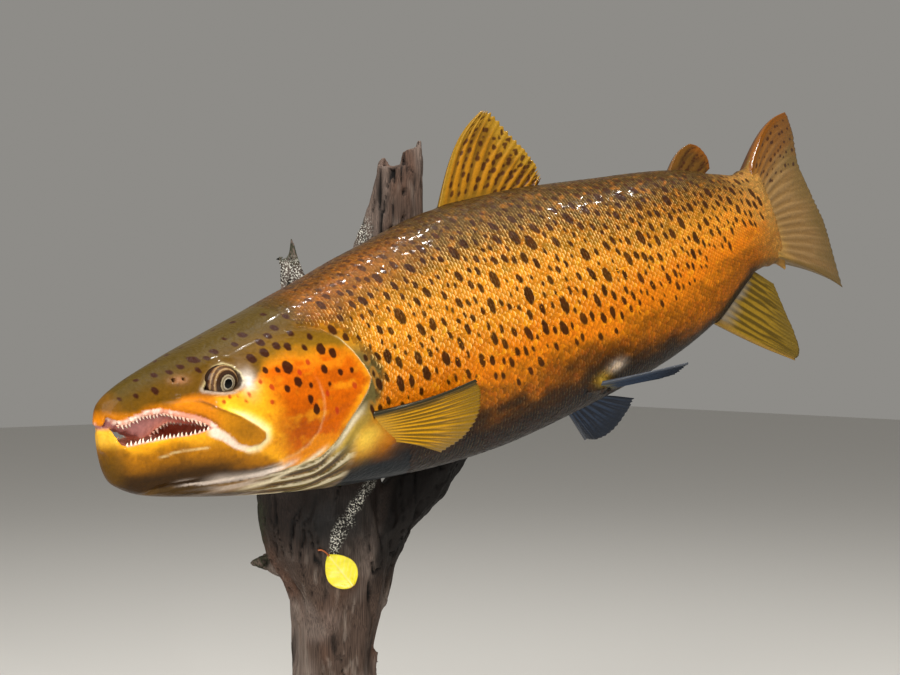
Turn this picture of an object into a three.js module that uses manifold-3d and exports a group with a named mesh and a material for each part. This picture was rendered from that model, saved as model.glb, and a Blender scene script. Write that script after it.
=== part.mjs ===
// A mounted brown trout: a large male fish, mouth open, bent as if swimming, held by a driftwood
// post that stands on a plain oval base.
// Millimetres, +Z up. The origin is the centre of the base's underside. The head points to -X and
// the fish's left side faces -Y.
//
// The fish is first drawn straight, in fish coordinates: x runs from the snout (0) to the tail,
// y to the fish's right and z up, all from the body's axis. place() then bends it along the spine.
import * as THREE from "three";
import { mergeVertices } from "three/addons/utils/BufferGeometryUtils.js";
import Module from "manifold-3d";

// ---------------------------------------------------------------- driving dimensions: the fish
const TOTAL_LENGTH = 840;
const GAP = 0.35; // thin cut between neighbouring pieces
const RING_SIDES = 22;
const BODY_STEP = 30;
const HEAD_STEP = 16;

// Body outline, as [distance from the snout, height or half width] along the straight fish.
const SNOUT = -2; // the lips reach this far before the point that lengths are taken from
const BACK_LINE = [[-2, -6], [4, 4.5], [20, 14], [48, 24.5], [92, 38], [140, 52.5], [184, 66], [260, 87],
  [358, 103], [410, 102], [540, 84], [612, 70], [660, 54], [690, 47], [715, 48]];
const BELLY_LINE = [[-2, -34], [0, -41], [10, -53], [30, -63], [66, -71], [135, -82], [200, -89],
  [350, -99], [435, -95], [520, -88], [593, -74], [630, -58], [663, -45], [715, -41]];
const HALF_WIDTH = [[-2, 3], [6, 12], [20, 18], [48, 25], [76, 38], [120, 47], [160, 52], [211, 56],
  [280, 58], [350, 57], [430, 52], [520, 42], [600, 30], [660, 20], [700, 14], [715, 11]];
const SECTION_LIFT = 0.03; // the widest level sits this share of the depth above the middle
const SECTION_POWER = 0.95; // under 1 fills the section out beyond an ellipse

// Lengths at which the body is parted.
const HEAD_END = 176;
const TRUNK_CUTS = [["trunk_front", HEAD_END, 330], ["trunk_middle", 330, 480],
  ["trunk_rear", 480, 620], ["tail_stalk", 620, 704]];

// The spine: straight as far as the shoulder, then turning and climbing towards the tail.
const SPINE_STRAIGHT_TO = 190;
const SPINE_UNIT = 300;
const SPINE_YAW = [9.84, -37.6, 20.12]; // degrees: constant, linear and square terms
const SPINE_PITCH = [6.42, 22.29, -10.04];
const ROLL_AT_UNIT = 4.81;
const ROLL_PER_UNIT = 4.85;
const SPINE_ANCHOR_X = 120;
const SPINE_ANCHOR = new THREE.Vector3(-195.8, -70.2, 395.1);
const SPINE_STEP = 4;

// Side-view outlines [x, z] of the pieces that the head is parted into.
const UPPER_LIP = [[-6, -16.5], [0.6, -16.5], [2.6, -11], [4.2, -5.6], [8, -8], [15, -7.5],
  [28, -3.8], [38, -3.8], [51, -8.6], [60, -12.2], [71, -18.4]];
const LOWER_LIP = [[-6, -18], [0.4, -17.6], [2, -13.2], [3.8, -12.2], [6, -18], [9.5, -23.6],
  [15, -25.7], [30, -24.8], [48, -23], [60, -23], [71, -21.6]];
const JAW_HINGE = [[84, -34], [94, -41], [116, -47.5], [125, -54], [123, -61]];
const JAW_LOWER_EDGE = [[101, -63.5], [69, -60.5], [50, -58], [35, -56], [24, -72], [-6, -72]];
const MAXILLA = [[40, -1.2], [55, -1.4], [65, -2.4], [75, -9.2], [90, -17.6], [101, -25.4],
  [109, -33.5], [105, -39], [95, -40], [86, -36.4], [79, -29], [71, -20.6], [62, -13], [51, -8]];
const GILL_COVER = [[150, 8], [156, 20], [164, 32], [179, 29.5], [192, 13], [203, -1], [206, -9],
  [199, -18], [188, -27], [180, -37], [173, -48], [156, -58.6], [138, -57.6], [122, -53.4],
  [139, -50.5], [153, -40], [158.5, -25.7], [156, -8.8]];
const GILL_MEMBRANE = [[36, -58], [50, -60], [69, -62.4], [101, -65.4], [125, -62.6], [139, -60.2],
  [156, -61], [174, -50.6], [181, -40], [183.5, -51], [178, -63], [168, -75], [156, -84],
  [120, -92], [36, -92]];
const MAXILLA_PROUD = 0.9;
const MAXILLA_THICK = 2.6;
const COVER_THICK = 3.6;
const COVER_REACH = [30, 215]; // the plates of the head lie between these lengths
const UNDER_STEP = 37;

// Mouth, as half width inside the lips and the levels of its roof and floor.
const MOUTH = { from: 6, to: 104, wall: 5.2, roof: -4, floor: -35, middle: -18, sides: 12 };
// The palate hangs under the skull as a soft pad: its lower edge in side view.
const PALATE_LINE = [[7, -9], [14, -17], [22, -18.5], [32, -25], [40, -20], [52, -15.5], [73, -19.5],
  [99, -23]];
const PALATE = { from: 8, to: 98, top: 0, inset: 7.5, step: 10, sides: 8 };
const TONGUE = { from: 36, to: 92, width: 9, top: -27.5, thickness: 4.5, step: 11, sides: 8 };
const TOOTH = { length: 3.4, radius: 1.3, sides: 3, buried: 1.6 };
const TOOTH_ROWS = [
  { jaw: "upper", from: 9, to: 66, count: 10, inset: 4.3, points: -1 },
  { jaw: "palate", from: 52, to: 84, count: 5, out: 7.5, points: -1 },
  { jaw: "lower", from: 15, to: 66, count: 9, inset: 2.2, points: 1 },
];
const EYE = { x: 84.4, z: 8.2, across: 14, high: 11.4, deep: 8.4, sunk: 5.4, room: 0.6 };
const NOSTRILS = [{ x: 52.4, z: 12.3, radius: 1.5 }, { x: 58, z: 12.8, radius: 1.2 }];

// ---------------------------------------------------------------- driving dimensions: the fins
// Fin corners in fish coordinates with y as distance out from the middle plane.
const FIN_RIM = 0.8; // thickness at a fin's outer edge
const FIN_NOTCH = 0.022; // how far the web draws back between two ray tips
const WEB_SHARE = 0.6; // the web's thickness as a share of the ray's
const DORSAL_FIN = { rays: 11, spans: 2, root: 4.2,
  base: [[357, 0, 98], [410, 0, 98], [462, 0, 91]],
  edge: [[440, 0, 173], [448, 0, 168], [458, 0, 149], [469, 0, 129], [475, 0, 113], [477, 0, 103]],
  lift: [0, 0, 13] };
const ADIPOSE_FIN = { rays: 4, spans: 2, root: 6, rim: 1.8,
  base: [[607, 0, 67], [626, 0, 62], [645, 0, 55]],
  edge: [[646, 0, 87.5], [656, 0, 82], [661, 0, 70], [660, 0, 60]],
  lift: [0, 0, 5] };
const ANAL_FIN = { rays: 10, spans: 2, root: 4,
  base: [[596, 0, -70], [632, 0, -55], [666, 0, -40]],
  edge: [[686, 0, -136], [695, 0, -132], [699.5, 0, -112], [697.5, 0, -88], [692, 0, -62]],
  lift: [0, 0, -4] };
const CAUDAL_FIN = { rays: 16, spans: 3, root: 17,
  base: [[704.4, 0, 46], [704.4, 0, 3], [704.4, 0, -40]],
  edge: [[806, 0, 93], [812, 0, 70], [806, 0, 40], [815, 0, 6], [824, 0, -22], [827, 0, -50],
    [832, 0, -91]],
  lift: [0, 0, 12] };
const PECTORAL_FIN = { rays: 11, spans: 2, root: 4.4,
  base: [[198, 52, -34], [214, 50, -46], [229, 44, -59]],
  edge: [[303, 67, -31.5], [310, 62, -43], [310, 55, -56], [296, 47, -72], [277, 38, -82]],
  lift: [0, 3, 0], puff: 7 };
const PELVIC_BASE = [[436, 31, -77], [443, 27, -80.5], [452, 22, -84.5]];
const PELVIC_FIN_LEFT = { rays: 8, spans: 2, root: 4,
  base: PELVIC_BASE,
  edge: [[511, 60, -88], [513, 54, -91], [506, 46, -93], [494, 39, -94]],
  lift: [0, 0, 0] };
const PELVIC_FIN_RIGHT = { rays: 8, spans: 2, root: 4,
  base: PELVIC_BASE,
  edge: [[470, 68, -132], [477, 58, -134], [486, 42, -130], [494, 24, -118], [498, 13, -107]],
  lift: [0, 0, 0] };

// ---------------------------------------------------------------- driving dimensions: the mount
// Wood coordinates: u across and v away, seen from the front of the mount, z up from the floor.
const WOOD_TURN = THREE.MathUtils.degToRad(38);
const WOOD_ORIGIN = new THREE.Vector2(63.2, 7.8);
const WOOD_RING_STEP = 31;
const FISH_CLEARANCE = 0.4;
// Each limb of the driftwood as [z, middle u, half width u, middle v, half depth v].
const WOOD_COLUMN = [[30.4, -101, 37, 0, 37], [137, -101.5, 33.8, 0, 34], [177, -98.5, 36.9, 0, 36],
  [209, -99, 41.5, -2, 38], [238, -106, 48.5, -3, 42], [269, -114, 50, -4, 46],
  [300, -113, 52, 0, 46], [340, -110, 50, 12, 38], [400, -96, 44, 18, 32], [460, -74, 32, 14, 28],
  [517, -54, 26, 6, 22], [535, -53, 25, 4, 20], [548, -48, 21, 2, 18], [578, -43, 18.5, 0, 14]];
const WOOD_FORK = [[196, -80, 24, 6, 26], [238, -66, 20, 10, 30], [269, -56, 27, 14, 34],
  [289, -38, 32, 20, 36], [311, -25, 30, 24, 36], [331, -9, 27, 26, 36], [370, 8, 24, 22, 38],
  [410, 16, 20, 20, 36], [444, 20, 14, 24, 24], [456, 21, 6, 26, 12]];
const WOOD_STUB = [[420, -104, 18, 16, 16], [450, -120, 12, 12, 12], [476, -131, 9, 10, 10],
  [489, -136.5, 9.5, 8, 9], [500, -141, 9.5, 8, 8], [507, -142, 7, 8, 6], [518, -138.5, 1.8, 8, 2]];
const WOOD_TINE_LEFT = [[560, -53, 10, 0, 11], [577, -55, 7, 0, 8], [586, -58.5, 2.5, 0, 3]];
const WOOD_TINE_RIGHT = [[560, -34, 10, 0, 11], [582, -32, 9, 0, 8], [594, -29, 6, 0, 5],
  [601, -27, 2.5, 0, 3]];
const WOOD_SPUR = [[238, -140, 20, 0, 12], [236, -158, 9, -2, 8], [235, -172, 2.5, -3, 3]];
const WOOD_TWIG = [[96, -70, 4, -12, 4], [126, -64, 2.2, -14, 2.2], [158, -62, 1, -15, 1]];
const WOOD_LOBES = [[3, 0.06, 31, 0.4], [5, 0.05, -47, 1.9], [8, 0.05, 23, 0.8]];

const LEAF = { u: -91.5, z: 235, width: 27, length: 34, thickness: 0.9, cup: 4, tilt: 14 };
const LEAF_STEM = { length: 12, radius: 0.8 };
const BASE = { length: 350, width: 290, thickness: 30, bevel: 5, segments: 26 };

// ---------------------------------------------------------------- colours
const FINISHES = {
  back: ["#6b5a1e", 0.34], flank: ["#b8741c", 0.32], stalk: ["#a98a4a", 0.36],
  head: ["#8f7a1e", 0.28], gold: ["#c98a12", 0.28], orange: ["#cf7d14", 0.3],
  throat: ["#7a6030", 0.36], flesh: ["#b0655c", 0.3], eye: ["#2a2016", 0.08],
  fin: ["#9a7a1e", 0.4], darkFin: ["#4a4a30", 0.4], tailFin: ["#a4884c", 0.4],
  wood: ["#4b423d", 0.85], leaf: ["#f2dc12", 0.35], base: ["#2b241f", 0.5],
};

// ---------------------------------------------------------------- solids
const wasm = await Module();
wasm.setup();

/** A closed three.js geometry as a manifold-3d solid. */
function solidOf(geometry) {
  const bare = geometry.index ? geometry.toNonIndexed() : geometry.clone();
  bare.deleteAttribute("normal");
  bare.deleteAttribute("uv");
  const merged = mergeVertices(bare, 1e-4);
  return new wasm.Manifold(new wasm.Mesh({
    numProp: 3,
    vertProperties: new Float32Array(merged.attributes.position.array),
    triVerts: new Uint32Array(merged.index.array),
  }));
}

/** A solid as a three.js geometry, each vertex passed through a map such as place(). */
function geometryOf(solid, map = (x, y, z) => new THREE.Vector3(x, y, z)) {
  const made = solid.getMesh();
  const positions = new Float32Array(made.numVert * 3);
  for (let i = 0; i < made.numVert; i++) {
    const [x, y, z] = made.vertProperties.subarray(i * made.numProp, i * made.numProp + 3);
    map(x, y, z).toArray(positions, i * 3);
  }
  const geometry = new THREE.BufferGeometry();
  geometry.setAttribute("position", new THREE.BufferAttribute(positions, 3));
  geometry.setIndex(new THREE.BufferAttribute(new Uint32Array(made.triVerts), 1));
  geometry.computeVertexNormals();
  return geometry;
}

/** The monotone cubic curve through [station, value] pairs, flat beyond its ends. */
function profile(pairs) {
  const last = pairs.length - 1;
  const rise = pairs.slice(1).map(([x, y], i) => (y - pairs[i][1]) / (x - pairs[i][0]));
  const slopes = pairs.map((_, i) => {
    if (i === 0) return rise[0];
    if (i === last) return rise[last - 1];
    const [before, after] = [rise[i - 1], rise[i]];
    return before * after <= 0 ? 0 : (2 * before * after) / (before + after);
  });
  return (x) => {
    if (x <= pairs[0][0]) return pairs[0][1];
    if (x >= pairs[last][0]) return pairs[last][1];
    const i = pairs.findIndex(([station]) => station > x) - 1;
    const span = pairs[i + 1][0] - pairs[i][0];
    const t = (x - pairs[i][0]) / span;
    const [h0, h1] = [(1 + 2 * t) * (1 - t) ** 2, t * t * (3 - 2 * t)];
    const [g0, g1] = [t * (1 - t) ** 2, t * t * (t - 1)];
    return h0 * pairs[i][1] + h1 * pairs[i + 1][1] + span * (g0 * slopes[i] + g1 * slopes[i + 1]);
  };
}

/** The solid between rings of points, with a fan closing each end. */
function loft(rings) {
  const sides = rings[0].length;
  const points = rings.flat();
  const faces = [];
  rings.slice(1).forEach((_, row) => {
    for (let j = 0; j < sides; j++) {
      const [a, b] = [row * sides + j, row * sides + ((j + 1) % sides)];
      faces.push(a, b, a + sides, b, b + sides, a + sides);
    }
  });
  for (const [row, outward] of [[0, false], [rings.length - 1, true]]) {
    const middle = new THREE.Vector3();
    rings[row].forEach((point) => middle.addScaledVector(point, 1 / sides));
    points.push(middle);
    for (let j = 0; j < sides; j++) {
      const [a, b] = [row * sides + j, row * sides + ((j + 1) % sides)];
      faces.push(...(outward ? [a, b, points.length - 1] : [b, a, points.length - 1]));
    }
  }
  return geometryFrom(points, faces);
}

function geometryFrom(points, faces) {
  const geometry = new THREE.BufferGeometry().setFromPoints(points);
  geometry.setIndex(faces);
  return geometry;
}

/** Evenly spaced stations from one length to another, about a step apart. */
function stations(from, to, step) {
  const count = Math.max(1, Math.round((to - from) / step));
  return Array.from({ length: count + 1 }, (_, i) => from + ((to - from) * i) / count);
}

// ---------------------------------------------------------------- the body's own surface
const backAt = profile(BACK_LINE);
const bellyAt = profile(BELLY_LINE);
const halfWidthAt = profile(HALF_WIDTH);

/** One cross-section of the straight fish, grown outwards by a distance. */
function bodyRing(x, grow = 0, sides = RING_SIDES) {
  const [top, bottom, half] = [backAt(x) + grow, bellyAt(x) - grow, halfWidthAt(x) + grow];
  const middle = (top + bottom) / 2 + SECTION_LIFT * (top - bottom);
  return Array.from({ length: sides }, (_, j) => {
    const angle = (2 * Math.PI * j) / sides;
    const [across, up] = [Math.cos(angle), Math.sin(angle)];
    const y = half * Math.sign(across) * Math.abs(across) ** SECTION_POWER;
    const z = up > 0
      ? middle + (top - middle) * up
      : middle - (middle - bottom) * Math.abs(up) ** SECTION_POWER;
    return new THREE.Vector3(x, y, z);
  });
}

/** Half the body's width at a length and height on the straight fish. */
function flankAt(x, z) {
  const [top, bottom] = [backAt(x), bellyAt(x)];
  const middle = (top + bottom) / 2 + SECTION_LIFT * (top - bottom);
  const up = z > middle
    ? (z - middle) / (top - middle)
    : ((middle - z) / (middle - bottom)) ** (1 / SECTION_POWER);
  return halfWidthAt(x) * Math.max(0, 1 - up * up) ** (SECTION_POWER / 2);
}

function bodySolid(from, to, step, grow = 0) {
  return solidOf(loft(stations(from, to, step).map((x) => bodyRing(x, grow))));
}

/** The plain surface at a depth under the skin, where the head's plates and pockets end. */
function underSkin(depth) {
  const rings = stations(...COVER_REACH, UNDER_STEP).map((x) => bodyRing(x, -depth, RING_SIDES / 2));
  return solidOf(loft(rings));
}

// ---------------------------------------------------------------- the bend
/** Points and directions along the bent spine, a step apart. */
const spine = (() => {
  const [start, end] = [-20, TOTAL_LENGTH + 20];
  const direction = (x) => {
    const t = Math.max(0, x - SPINE_STRAIGHT_TO) / SPINE_UNIT;
    const turned = ([c, l, q]) => THREE.MathUtils.degToRad(c + l * t + q * t * t);
    const [yaw, pitch] = [turned(SPINE_YAW), turned(SPINE_PITCH)];
    return new THREE.Vector3(Math.cos(pitch) * Math.cos(yaw), Math.cos(pitch) * Math.sin(yaw),
      Math.sin(pitch));
  };
  const points = [new THREE.Vector3()];
  for (let x = start; x < end; x += SPINE_STEP) {
    const next = points.at(-1).clone().addScaledVector(direction(x + SPINE_STEP / 2), SPINE_STEP);
    points.push(next);
  }
  const raw = (x) => {
    const at = Math.min(points.length - 1.001, Math.max(0, (x - start) / SPINE_STEP));
    const i = Math.floor(at);
    return points[i].clone().lerp(points[i + 1], at - i);
  };
  const shift = SPINE_ANCHOR.clone().sub(raw(SPINE_ANCHOR_X));
  return { direction, point: (x) => raw(x).add(shift) };
})();

/** Where a point of the straight fish lies on the bent one. */
function place(x, y, z) {
  const along = spine.direction(x);
  const right = new THREE.Vector3(-along.y, along.x, 0).normalize();
  const up = new THREE.Vector3().crossVectors(along, right);
  const roll = THREE.MathUtils.degToRad(
    ROLL_AT_UNIT + (ROLL_PER_UNIT * (x - SPINE_UNIT)) / SPINE_UNIT);
  const rightRolled = right.clone().multiplyScalar(Math.cos(roll)).addScaledVector(up, -Math.sin(roll));
  const upRolled = up.multiplyScalar(Math.cos(roll)).addScaledVector(right, Math.sin(roll));
  return spine.point(x).addScaledVector(rightRolled, y).addScaledVector(upRolled, z);
}

// ---------------------------------------------------------------- side-view cutting shapes
/** A closed outline moved outwards by a distance. */
function grown(outline, distance) {
  const turn = THREE.ShapeUtils.area(outline.map(([x, z]) => new THREE.Vector2(x, z))) > 0 ? 1 : -1;
  return outline.map(([x, z], i) => {
    const before = outline.at(i - 1);
    const after = outline[(i + 1) % outline.length];
    const first = new THREE.Vector2(z - before[1], before[0] - x).normalize();
    const second = new THREE.Vector2(after[1] - z, x - after[0]).normalize();
    const normal = first.add(second).normalize();
    return [x + turn * distance * normal.x, z + turn * distance * normal.y];
  });
}

/** A closed outline with its corners rounded into a smooth curve. */
function rounded(outline, pointsPerCorner = 2) {
  const corners = outline.map(([x, z]) => new THREE.Vector3(x, z, 0));
  const curve = new THREE.CatmullRomCurve3(corners, true, "centripetal");
  return curve.getPoints(outline.length * pointsPerCorner).slice(0, -1).map((p) => [p.x, p.y]);
}

/** A side-view outline cut through the fish between two levels of y. */
function slab(outline, from, to) {
  const shape = new THREE.Shape(outline.map(([x, z]) => new THREE.Vector2(x, z)));
  const geometry = new THREE.ExtrudeGeometry(shape, { depth: to - from, bevelEnabled: false });
  geometry.rotateX(Math.PI / 2);
  geometry.translate(0, to, 0);
  return solidOf(geometry);
}

const FAR_OUT = 90;
const SIDES = [["left", -1], ["right", 1]];

function sideSlab(outline, side, inner = GAP / 2) {
  const [from, to] = side > 0 ? [inner, FAR_OUT] : [-FAR_OUT, -inner];
  return slab(outline, from, to);
}

/** A plate of the head's skin: an outline in side view, a depth in from the surface. */
function plate(outline, side, thickness, proud = 0) {
  const shell = bodySolid(0, COVER_REACH[1], HEAD_STEP, proud).subtract(underSkin(thickness));
  return sideSlab(outline, side).intersect(shell);
}

/** The room that a plate takes out of what lies under it. */
function pocket(outline, side, thickness) {
  return sideSlab(grown(outline, GAP), side, -GAP / 2).subtract(underSkin(thickness + GAP));
}

// ---------------------------------------------------------------- the head
/** The hollow of the mouth, shrunk by a distance for what lies inside it. */
function mouthHollow(shrink = 0) {
  const rings = stations(MOUTH.from + shrink, MOUTH.to - shrink, HEAD_STEP).map((x) => {
    const narrowing = Math.min(1, (MOUTH.to + 4 - x) / 30) ** 0.5;
    const half = Math.max(2, (halfWidthAt(x) - MOUTH.wall) * narrowing) - shrink;
    return Array.from({ length: MOUTH.sides }, (_, j) => {
      const angle = (2 * Math.PI * j) / MOUTH.sides;
      const up = Math.sin(angle);
      const reach = (up > 0 ? MOUTH.roof - MOUTH.middle : MOUTH.middle - MOUTH.floor) - shrink;
      const z = MOUTH.middle - 0.04 * x + up * reach * (x < 12 ? 0.75 : 1);
      return new THREE.Vector3(x, half * Math.cos(angle), z);
    });
  });
  return solidOf(loft(rings));
}

/** The soft pad that hangs under the skull as the roof of the mouth. */
function palatePad() {
  const bottomAt = profile(PALATE_LINE);
  const rings = stations(PALATE.from, PALATE.to, PALATE.step).map((x) => {
    const half = Math.max(2.5, halfWidthAt(x) - PALATE.inset - 0.06 * x);
    return Array.from({ length: PALATE.sides }, (_, j) => {
      const angle = (2 * Math.PI * j) / PALATE.sides;
      const z = (PALATE.top + bottomAt(x)) / 2 + ((PALATE.top - bottomAt(x)) / 2) * Math.sin(angle);
      return new THREE.Vector3(x, half * Math.cos(angle), z);
    });
  });
  return solidOf(loft(rings));
}

function ellipsoid(center, radii, segments) {
  const geometry = new THREE.SphereGeometry(1, segments, Math.round(segments * 0.6));
  geometry.rotateX(Math.PI / 2);
  geometry.scale(...radii);
  geometry.translate(...center);
  return solidOf(geometry);
}

const eyeCenter = (side) => [EYE.x, side * (flankAt(EYE.x, EYE.z) - EYE.sunk), EYE.z];

function eyeSolid(side, room = 0) {
  return ellipsoid(eyeCenter(side), [EYE.across + room, EYE.deep + room, EYE.high + room], 11);
}

/** Rows of pointed teeth along the lips and the palate. */
function teeth(jaw) {
  const lip = profile((jaw === "lower" ? LOWER_LIP : UPPER_LIP).slice(jaw === "lower" ? 5 : 3));
  const palateAt = profile(PALATE_LINE);
  const rows = TOOTH_ROWS.filter((row) => (row.jaw === "lower") === (jaw === "lower"));
  return rows.flatMap((row) => stations(row.from, row.to, (row.to - row.from) / (row.count - 1))
    .flatMap((x) => SIDES.map(([, side]) => {
      const palate = row.jaw === "palate";
      const level = palate ? palateAt(x) + 1 : lip(x);
      const y = side * (palate ? row.out : Math.max(3, flankAt(x, level) - row.inset));
      const height = TOOTH.length + TOOTH.buried;
      const cone = new THREE.ConeGeometry(TOOTH.radius, height, TOOTH.sides);
      cone.rotateX((row.points * Math.PI) / 2);
      cone.translate(x, y, level + row.points * (height / 2 - TOOTH.buried));
      return solidOf(cone);
    })));
}

/** The tongue lies along the floor of the mouth. */
function tongueSolid() {
  const rings = stations(TONGUE.from, TONGUE.to, TONGUE.step).map((x) => {
    const share = (x - TONGUE.from) / (TONGUE.to - TONGUE.from);
    const half = TONGUE.width * (0.35 + 0.65 * Math.sin(Math.PI * Math.min(1, share + 0.12)) ** 0.5);
    return Array.from({ length: TONGUE.sides }, (_, j) => {
      const angle = (2 * Math.PI * j) / TONGUE.sides;
      const drop = TONGUE.thickness * (1 - Math.sin(angle)) * (Math.sin(angle) < 0 ? 1.6 : 1);
      return new THREE.Vector3(x, half * Math.cos(angle), TONGUE.top - drop);
    });
  });
  return solidOf(loft(rings)).intersect(mouthHollow(GAP));
}

function headPieces() {
  const front = bodySolid(SNOUT, HEAD_END - GAP / 2, HEAD_STEP);
  const reversedLower = [...JAW_LOWER_EDGE].reverse();
  const jawOutline = [...LOWER_LIP, ...JAW_HINGE, ...JAW_LOWER_EDGE];
  const openOutline = [...reversedLower, ...[...JAW_HINGE].reverse(), ...[...UPPER_LIP].reverse()];
  const hollow = mouthHollow();
  const withTeeth = (solid, row) => teeth(row).reduce((sum, tooth) => sum.add(tooth), solid);
  const upper = front.subtract(slab(grown(openOutline, GAP), -FAR_OUT, FAR_OUT)).subtract(hollow);
  let skull = withTeeth(upper.add(palatePad()), "upper");
  let jaw = withTeeth(front.intersect(slab(jawOutline, -FAR_OUT, FAR_OUT)).subtract(hollow), "lower");
  const pieces = {};
  for (const [name, side] of SIDES) {
    const plates = { maxilla: [MAXILLA, MAXILLA_THICK], gill_cover: [GILL_COVER, COVER_THICK],
      gill_membrane: [GILL_MEMBRANE, COVER_THICK] };
    for (const [outline, thickness] of Object.values(plates)) {
      skull = skull.subtract(pocket(outline, side, thickness));
      jaw = jaw.subtract(pocket(outline, side, thickness));
    }
    skull = skull.subtract(eyeSolid(side, EYE.room));
    for (const { x, z, radius } of NOSTRILS) {
      skull = skull.subtract(ellipsoid([x, side * flankAt(x, z), z], [radius, radius * 2, radius], 4));
    }
    pieces[`maxilla_${name}`] = [plate(MAXILLA, side, MAXILLA_THICK, MAXILLA_PROUD), "gold"];
    pieces[`gill_cover_${name}`] = [plate(GILL_COVER, side, COVER_THICK), "orange"];
    pieces[`gill_membrane_${name}`] = [plate(GILL_MEMBRANE, side, COVER_THICK), "throat"];
    pieces[`eye_${name}`] = [eyeSolid(side), "eye"];
  }
  pieces.head = [skull, "head"];
  pieces.lower_jaw = [jaw, "gold"];
  pieces.tongue = [tongueSolid(), "flesh"];
  return pieces;
}

// ---------------------------------------------------------------- the trunk
function trunkPieces() {
  const finishes = { trunk_front: "flank", trunk_middle: "flank", trunk_rear: "flank", tail_stalk: "stalk" };
  const pieces = {};
  for (const [name, from, to] of TRUNK_CUTS) {
    let solid = bodySolid(from + GAP / 2, to - GAP / 2, BODY_STEP);
    if (name === "trunk_front") {
      for (const [, side] of SIDES) {
        solid = solid.subtract(pocket(GILL_COVER, side, COVER_THICK));
        solid = solid.subtract(pocket(GILL_MEMBRANE, side, COVER_THICK));
      }
    }
    pieces[name] = [solid, finishes[name]];
  }
  return pieces;
}

// ---------------------------------------------------------------- the fins
/** A smooth curve through a fin's corner points, mirrored to a side. */
function finCurve(corners, side) {
  const points = corners.map(([x, out, z]) => new THREE.Vector3(x, side * out, z));
  return new THREE.CatmullRomCurve3(points, false, "centripetal");
}

/** A fin: rays fanning from its base to its outer edge, joined by thinner webs. */
function finSolid({ base, edge, rays, spans, root, rim = FIN_RIM, lift, puff = 0 }, side = 1) {
  const [baseCurve, edgeCurve] = [finCurve(base, side), finCurve(edge, side)];
  const bow = new THREE.Vector3(lift[0], side * lift[1], lift[2]);
  const columns = 2 * rays;
  const middle = (s, v) => {
    const arch = Math.sin(Math.PI * v);
    return baseCurve.getPoint(s).lerp(edgeCurve.getPoint(s), v)
      .addScaledVector(bow, arch * (1 - s) ** 2).add(new THREE.Vector3(0, side * puff * arch, 0));
  };
  const vertex = (column, row, face) => {
    const s = column / columns;
    const onRay = column % 2 === 0;
    const v = (row / spans) * (onRay ? 1 : 1 - FIN_NOTCH);
    const [near, far] = [Math.max(0, s - 0.02), Math.min(1, s + 0.02)];
    const across = middle(far, v).sub(middle(near, v));
    const outward = middle(s, Math.min(1, v + 0.02)).sub(middle(s, Math.max(0, v - 0.02)));
    const normal = across.cross(outward).normalize();
    const taper = rim + (root - rim) * (1 - v) ** 2;
    const share = onRay ? 1 : WEB_SHARE + (1 - WEB_SHARE) * (1 - v) ** 4;
    return middle(s, v).addScaledVector(normal, (face * taper * share) / 2);
  };
  const points = [];
  for (const face of [1, -1]) {
    for (let c = 0; c <= columns; c++) {
      for (let r = 0; r <= spans; r++) points.push(vertex(c, r, face));
    }
  }
  const index = (face, c, r) => (face > 0 ? 0 : 1) * (columns + 1) * (spans + 1) + c * (spans + 1) + r;
  const faces = [];
  const quad = (a, b, c, d) => faces.push(a, b, c, a, c, d);
  for (let c = 0; c < columns; c++) {
    for (let r = 0; r < spans; r++) {
      quad(index(1, c, r), index(1, c + 1, r), index(1, c + 1, r + 1), index(1, c, r + 1));
      quad(index(-1, c, r), index(-1, c, r + 1), index(-1, c + 1, r + 1), index(-1, c + 1, r));
    }
    quad(index(1, c, 0), index(-1, c, 0), index(-1, c + 1, 0), index(1, c + 1, 0));
    quad(index(1, c, spans), index(1, c + 1, spans), index(-1, c + 1, spans), index(-1, c, spans));
  }
  for (let r = 0; r < spans; r++) {
    quad(index(1, 0, r), index(1, 0, r + 1), index(-1, 0, r + 1), index(-1, 0, r));
    quad(index(1, columns, r), index(-1, columns, r), index(-1, columns, r + 1),
      index(1, columns, r + 1));
  }
  return solidOf(geometryFrom(points, faces));
}

function finPieces() {
  const body = TRUNK_CUTS.map(([, from, to]) => bodySolid(from, to, BODY_STEP, GAP))
    .reduce((sum, part) => sum.add(part));
  const onBody = (fin, side) => finSolid(fin, side).subtract(body);
  return {
    dorsal_fin: [onBody(DORSAL_FIN, 1), "fin"],
    adipose_fin: [onBody(ADIPOSE_FIN, 1), "back"],
    anal_fin: [onBody(ANAL_FIN, 1), "fin"],
    tail_fin: [finSolid(CAUDAL_FIN), "tailFin"],
    pectoral_fin_left: [onBody(PECTORAL_FIN, -1), "fin"],
    pectoral_fin_right: [onBody(PECTORAL_FIN, 1), "fin"],
    pelvic_fin_left: [onBody(PELVIC_FIN_LEFT, -1), "darkFin"],
    pelvic_fin_right: [onBody(PELVIC_FIN_RIGHT, 1), "darkFin"],
  };
}

// ---------------------------------------------------------------- the driftwood
function woodPoint(u, v, z) {
  const [across, away] = [Math.cos(WOOD_TURN), Math.sin(WOOD_TURN)];
  return new THREE.Vector3(WOOD_ORIGIN.x + across * u + away * v,
    WOOD_ORIGIN.y - away * u + across * v, z);
}

/** How far the weathered surface stands in or out at an angle round a limb. */
function weathering(angle, level) {
  return WOOD_LOBES.reduce(
    (sum, [lobes, depth, pitch, phase]) => sum + depth * Math.sin(lobes * angle + level / pitch + phase), 1);
}

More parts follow.
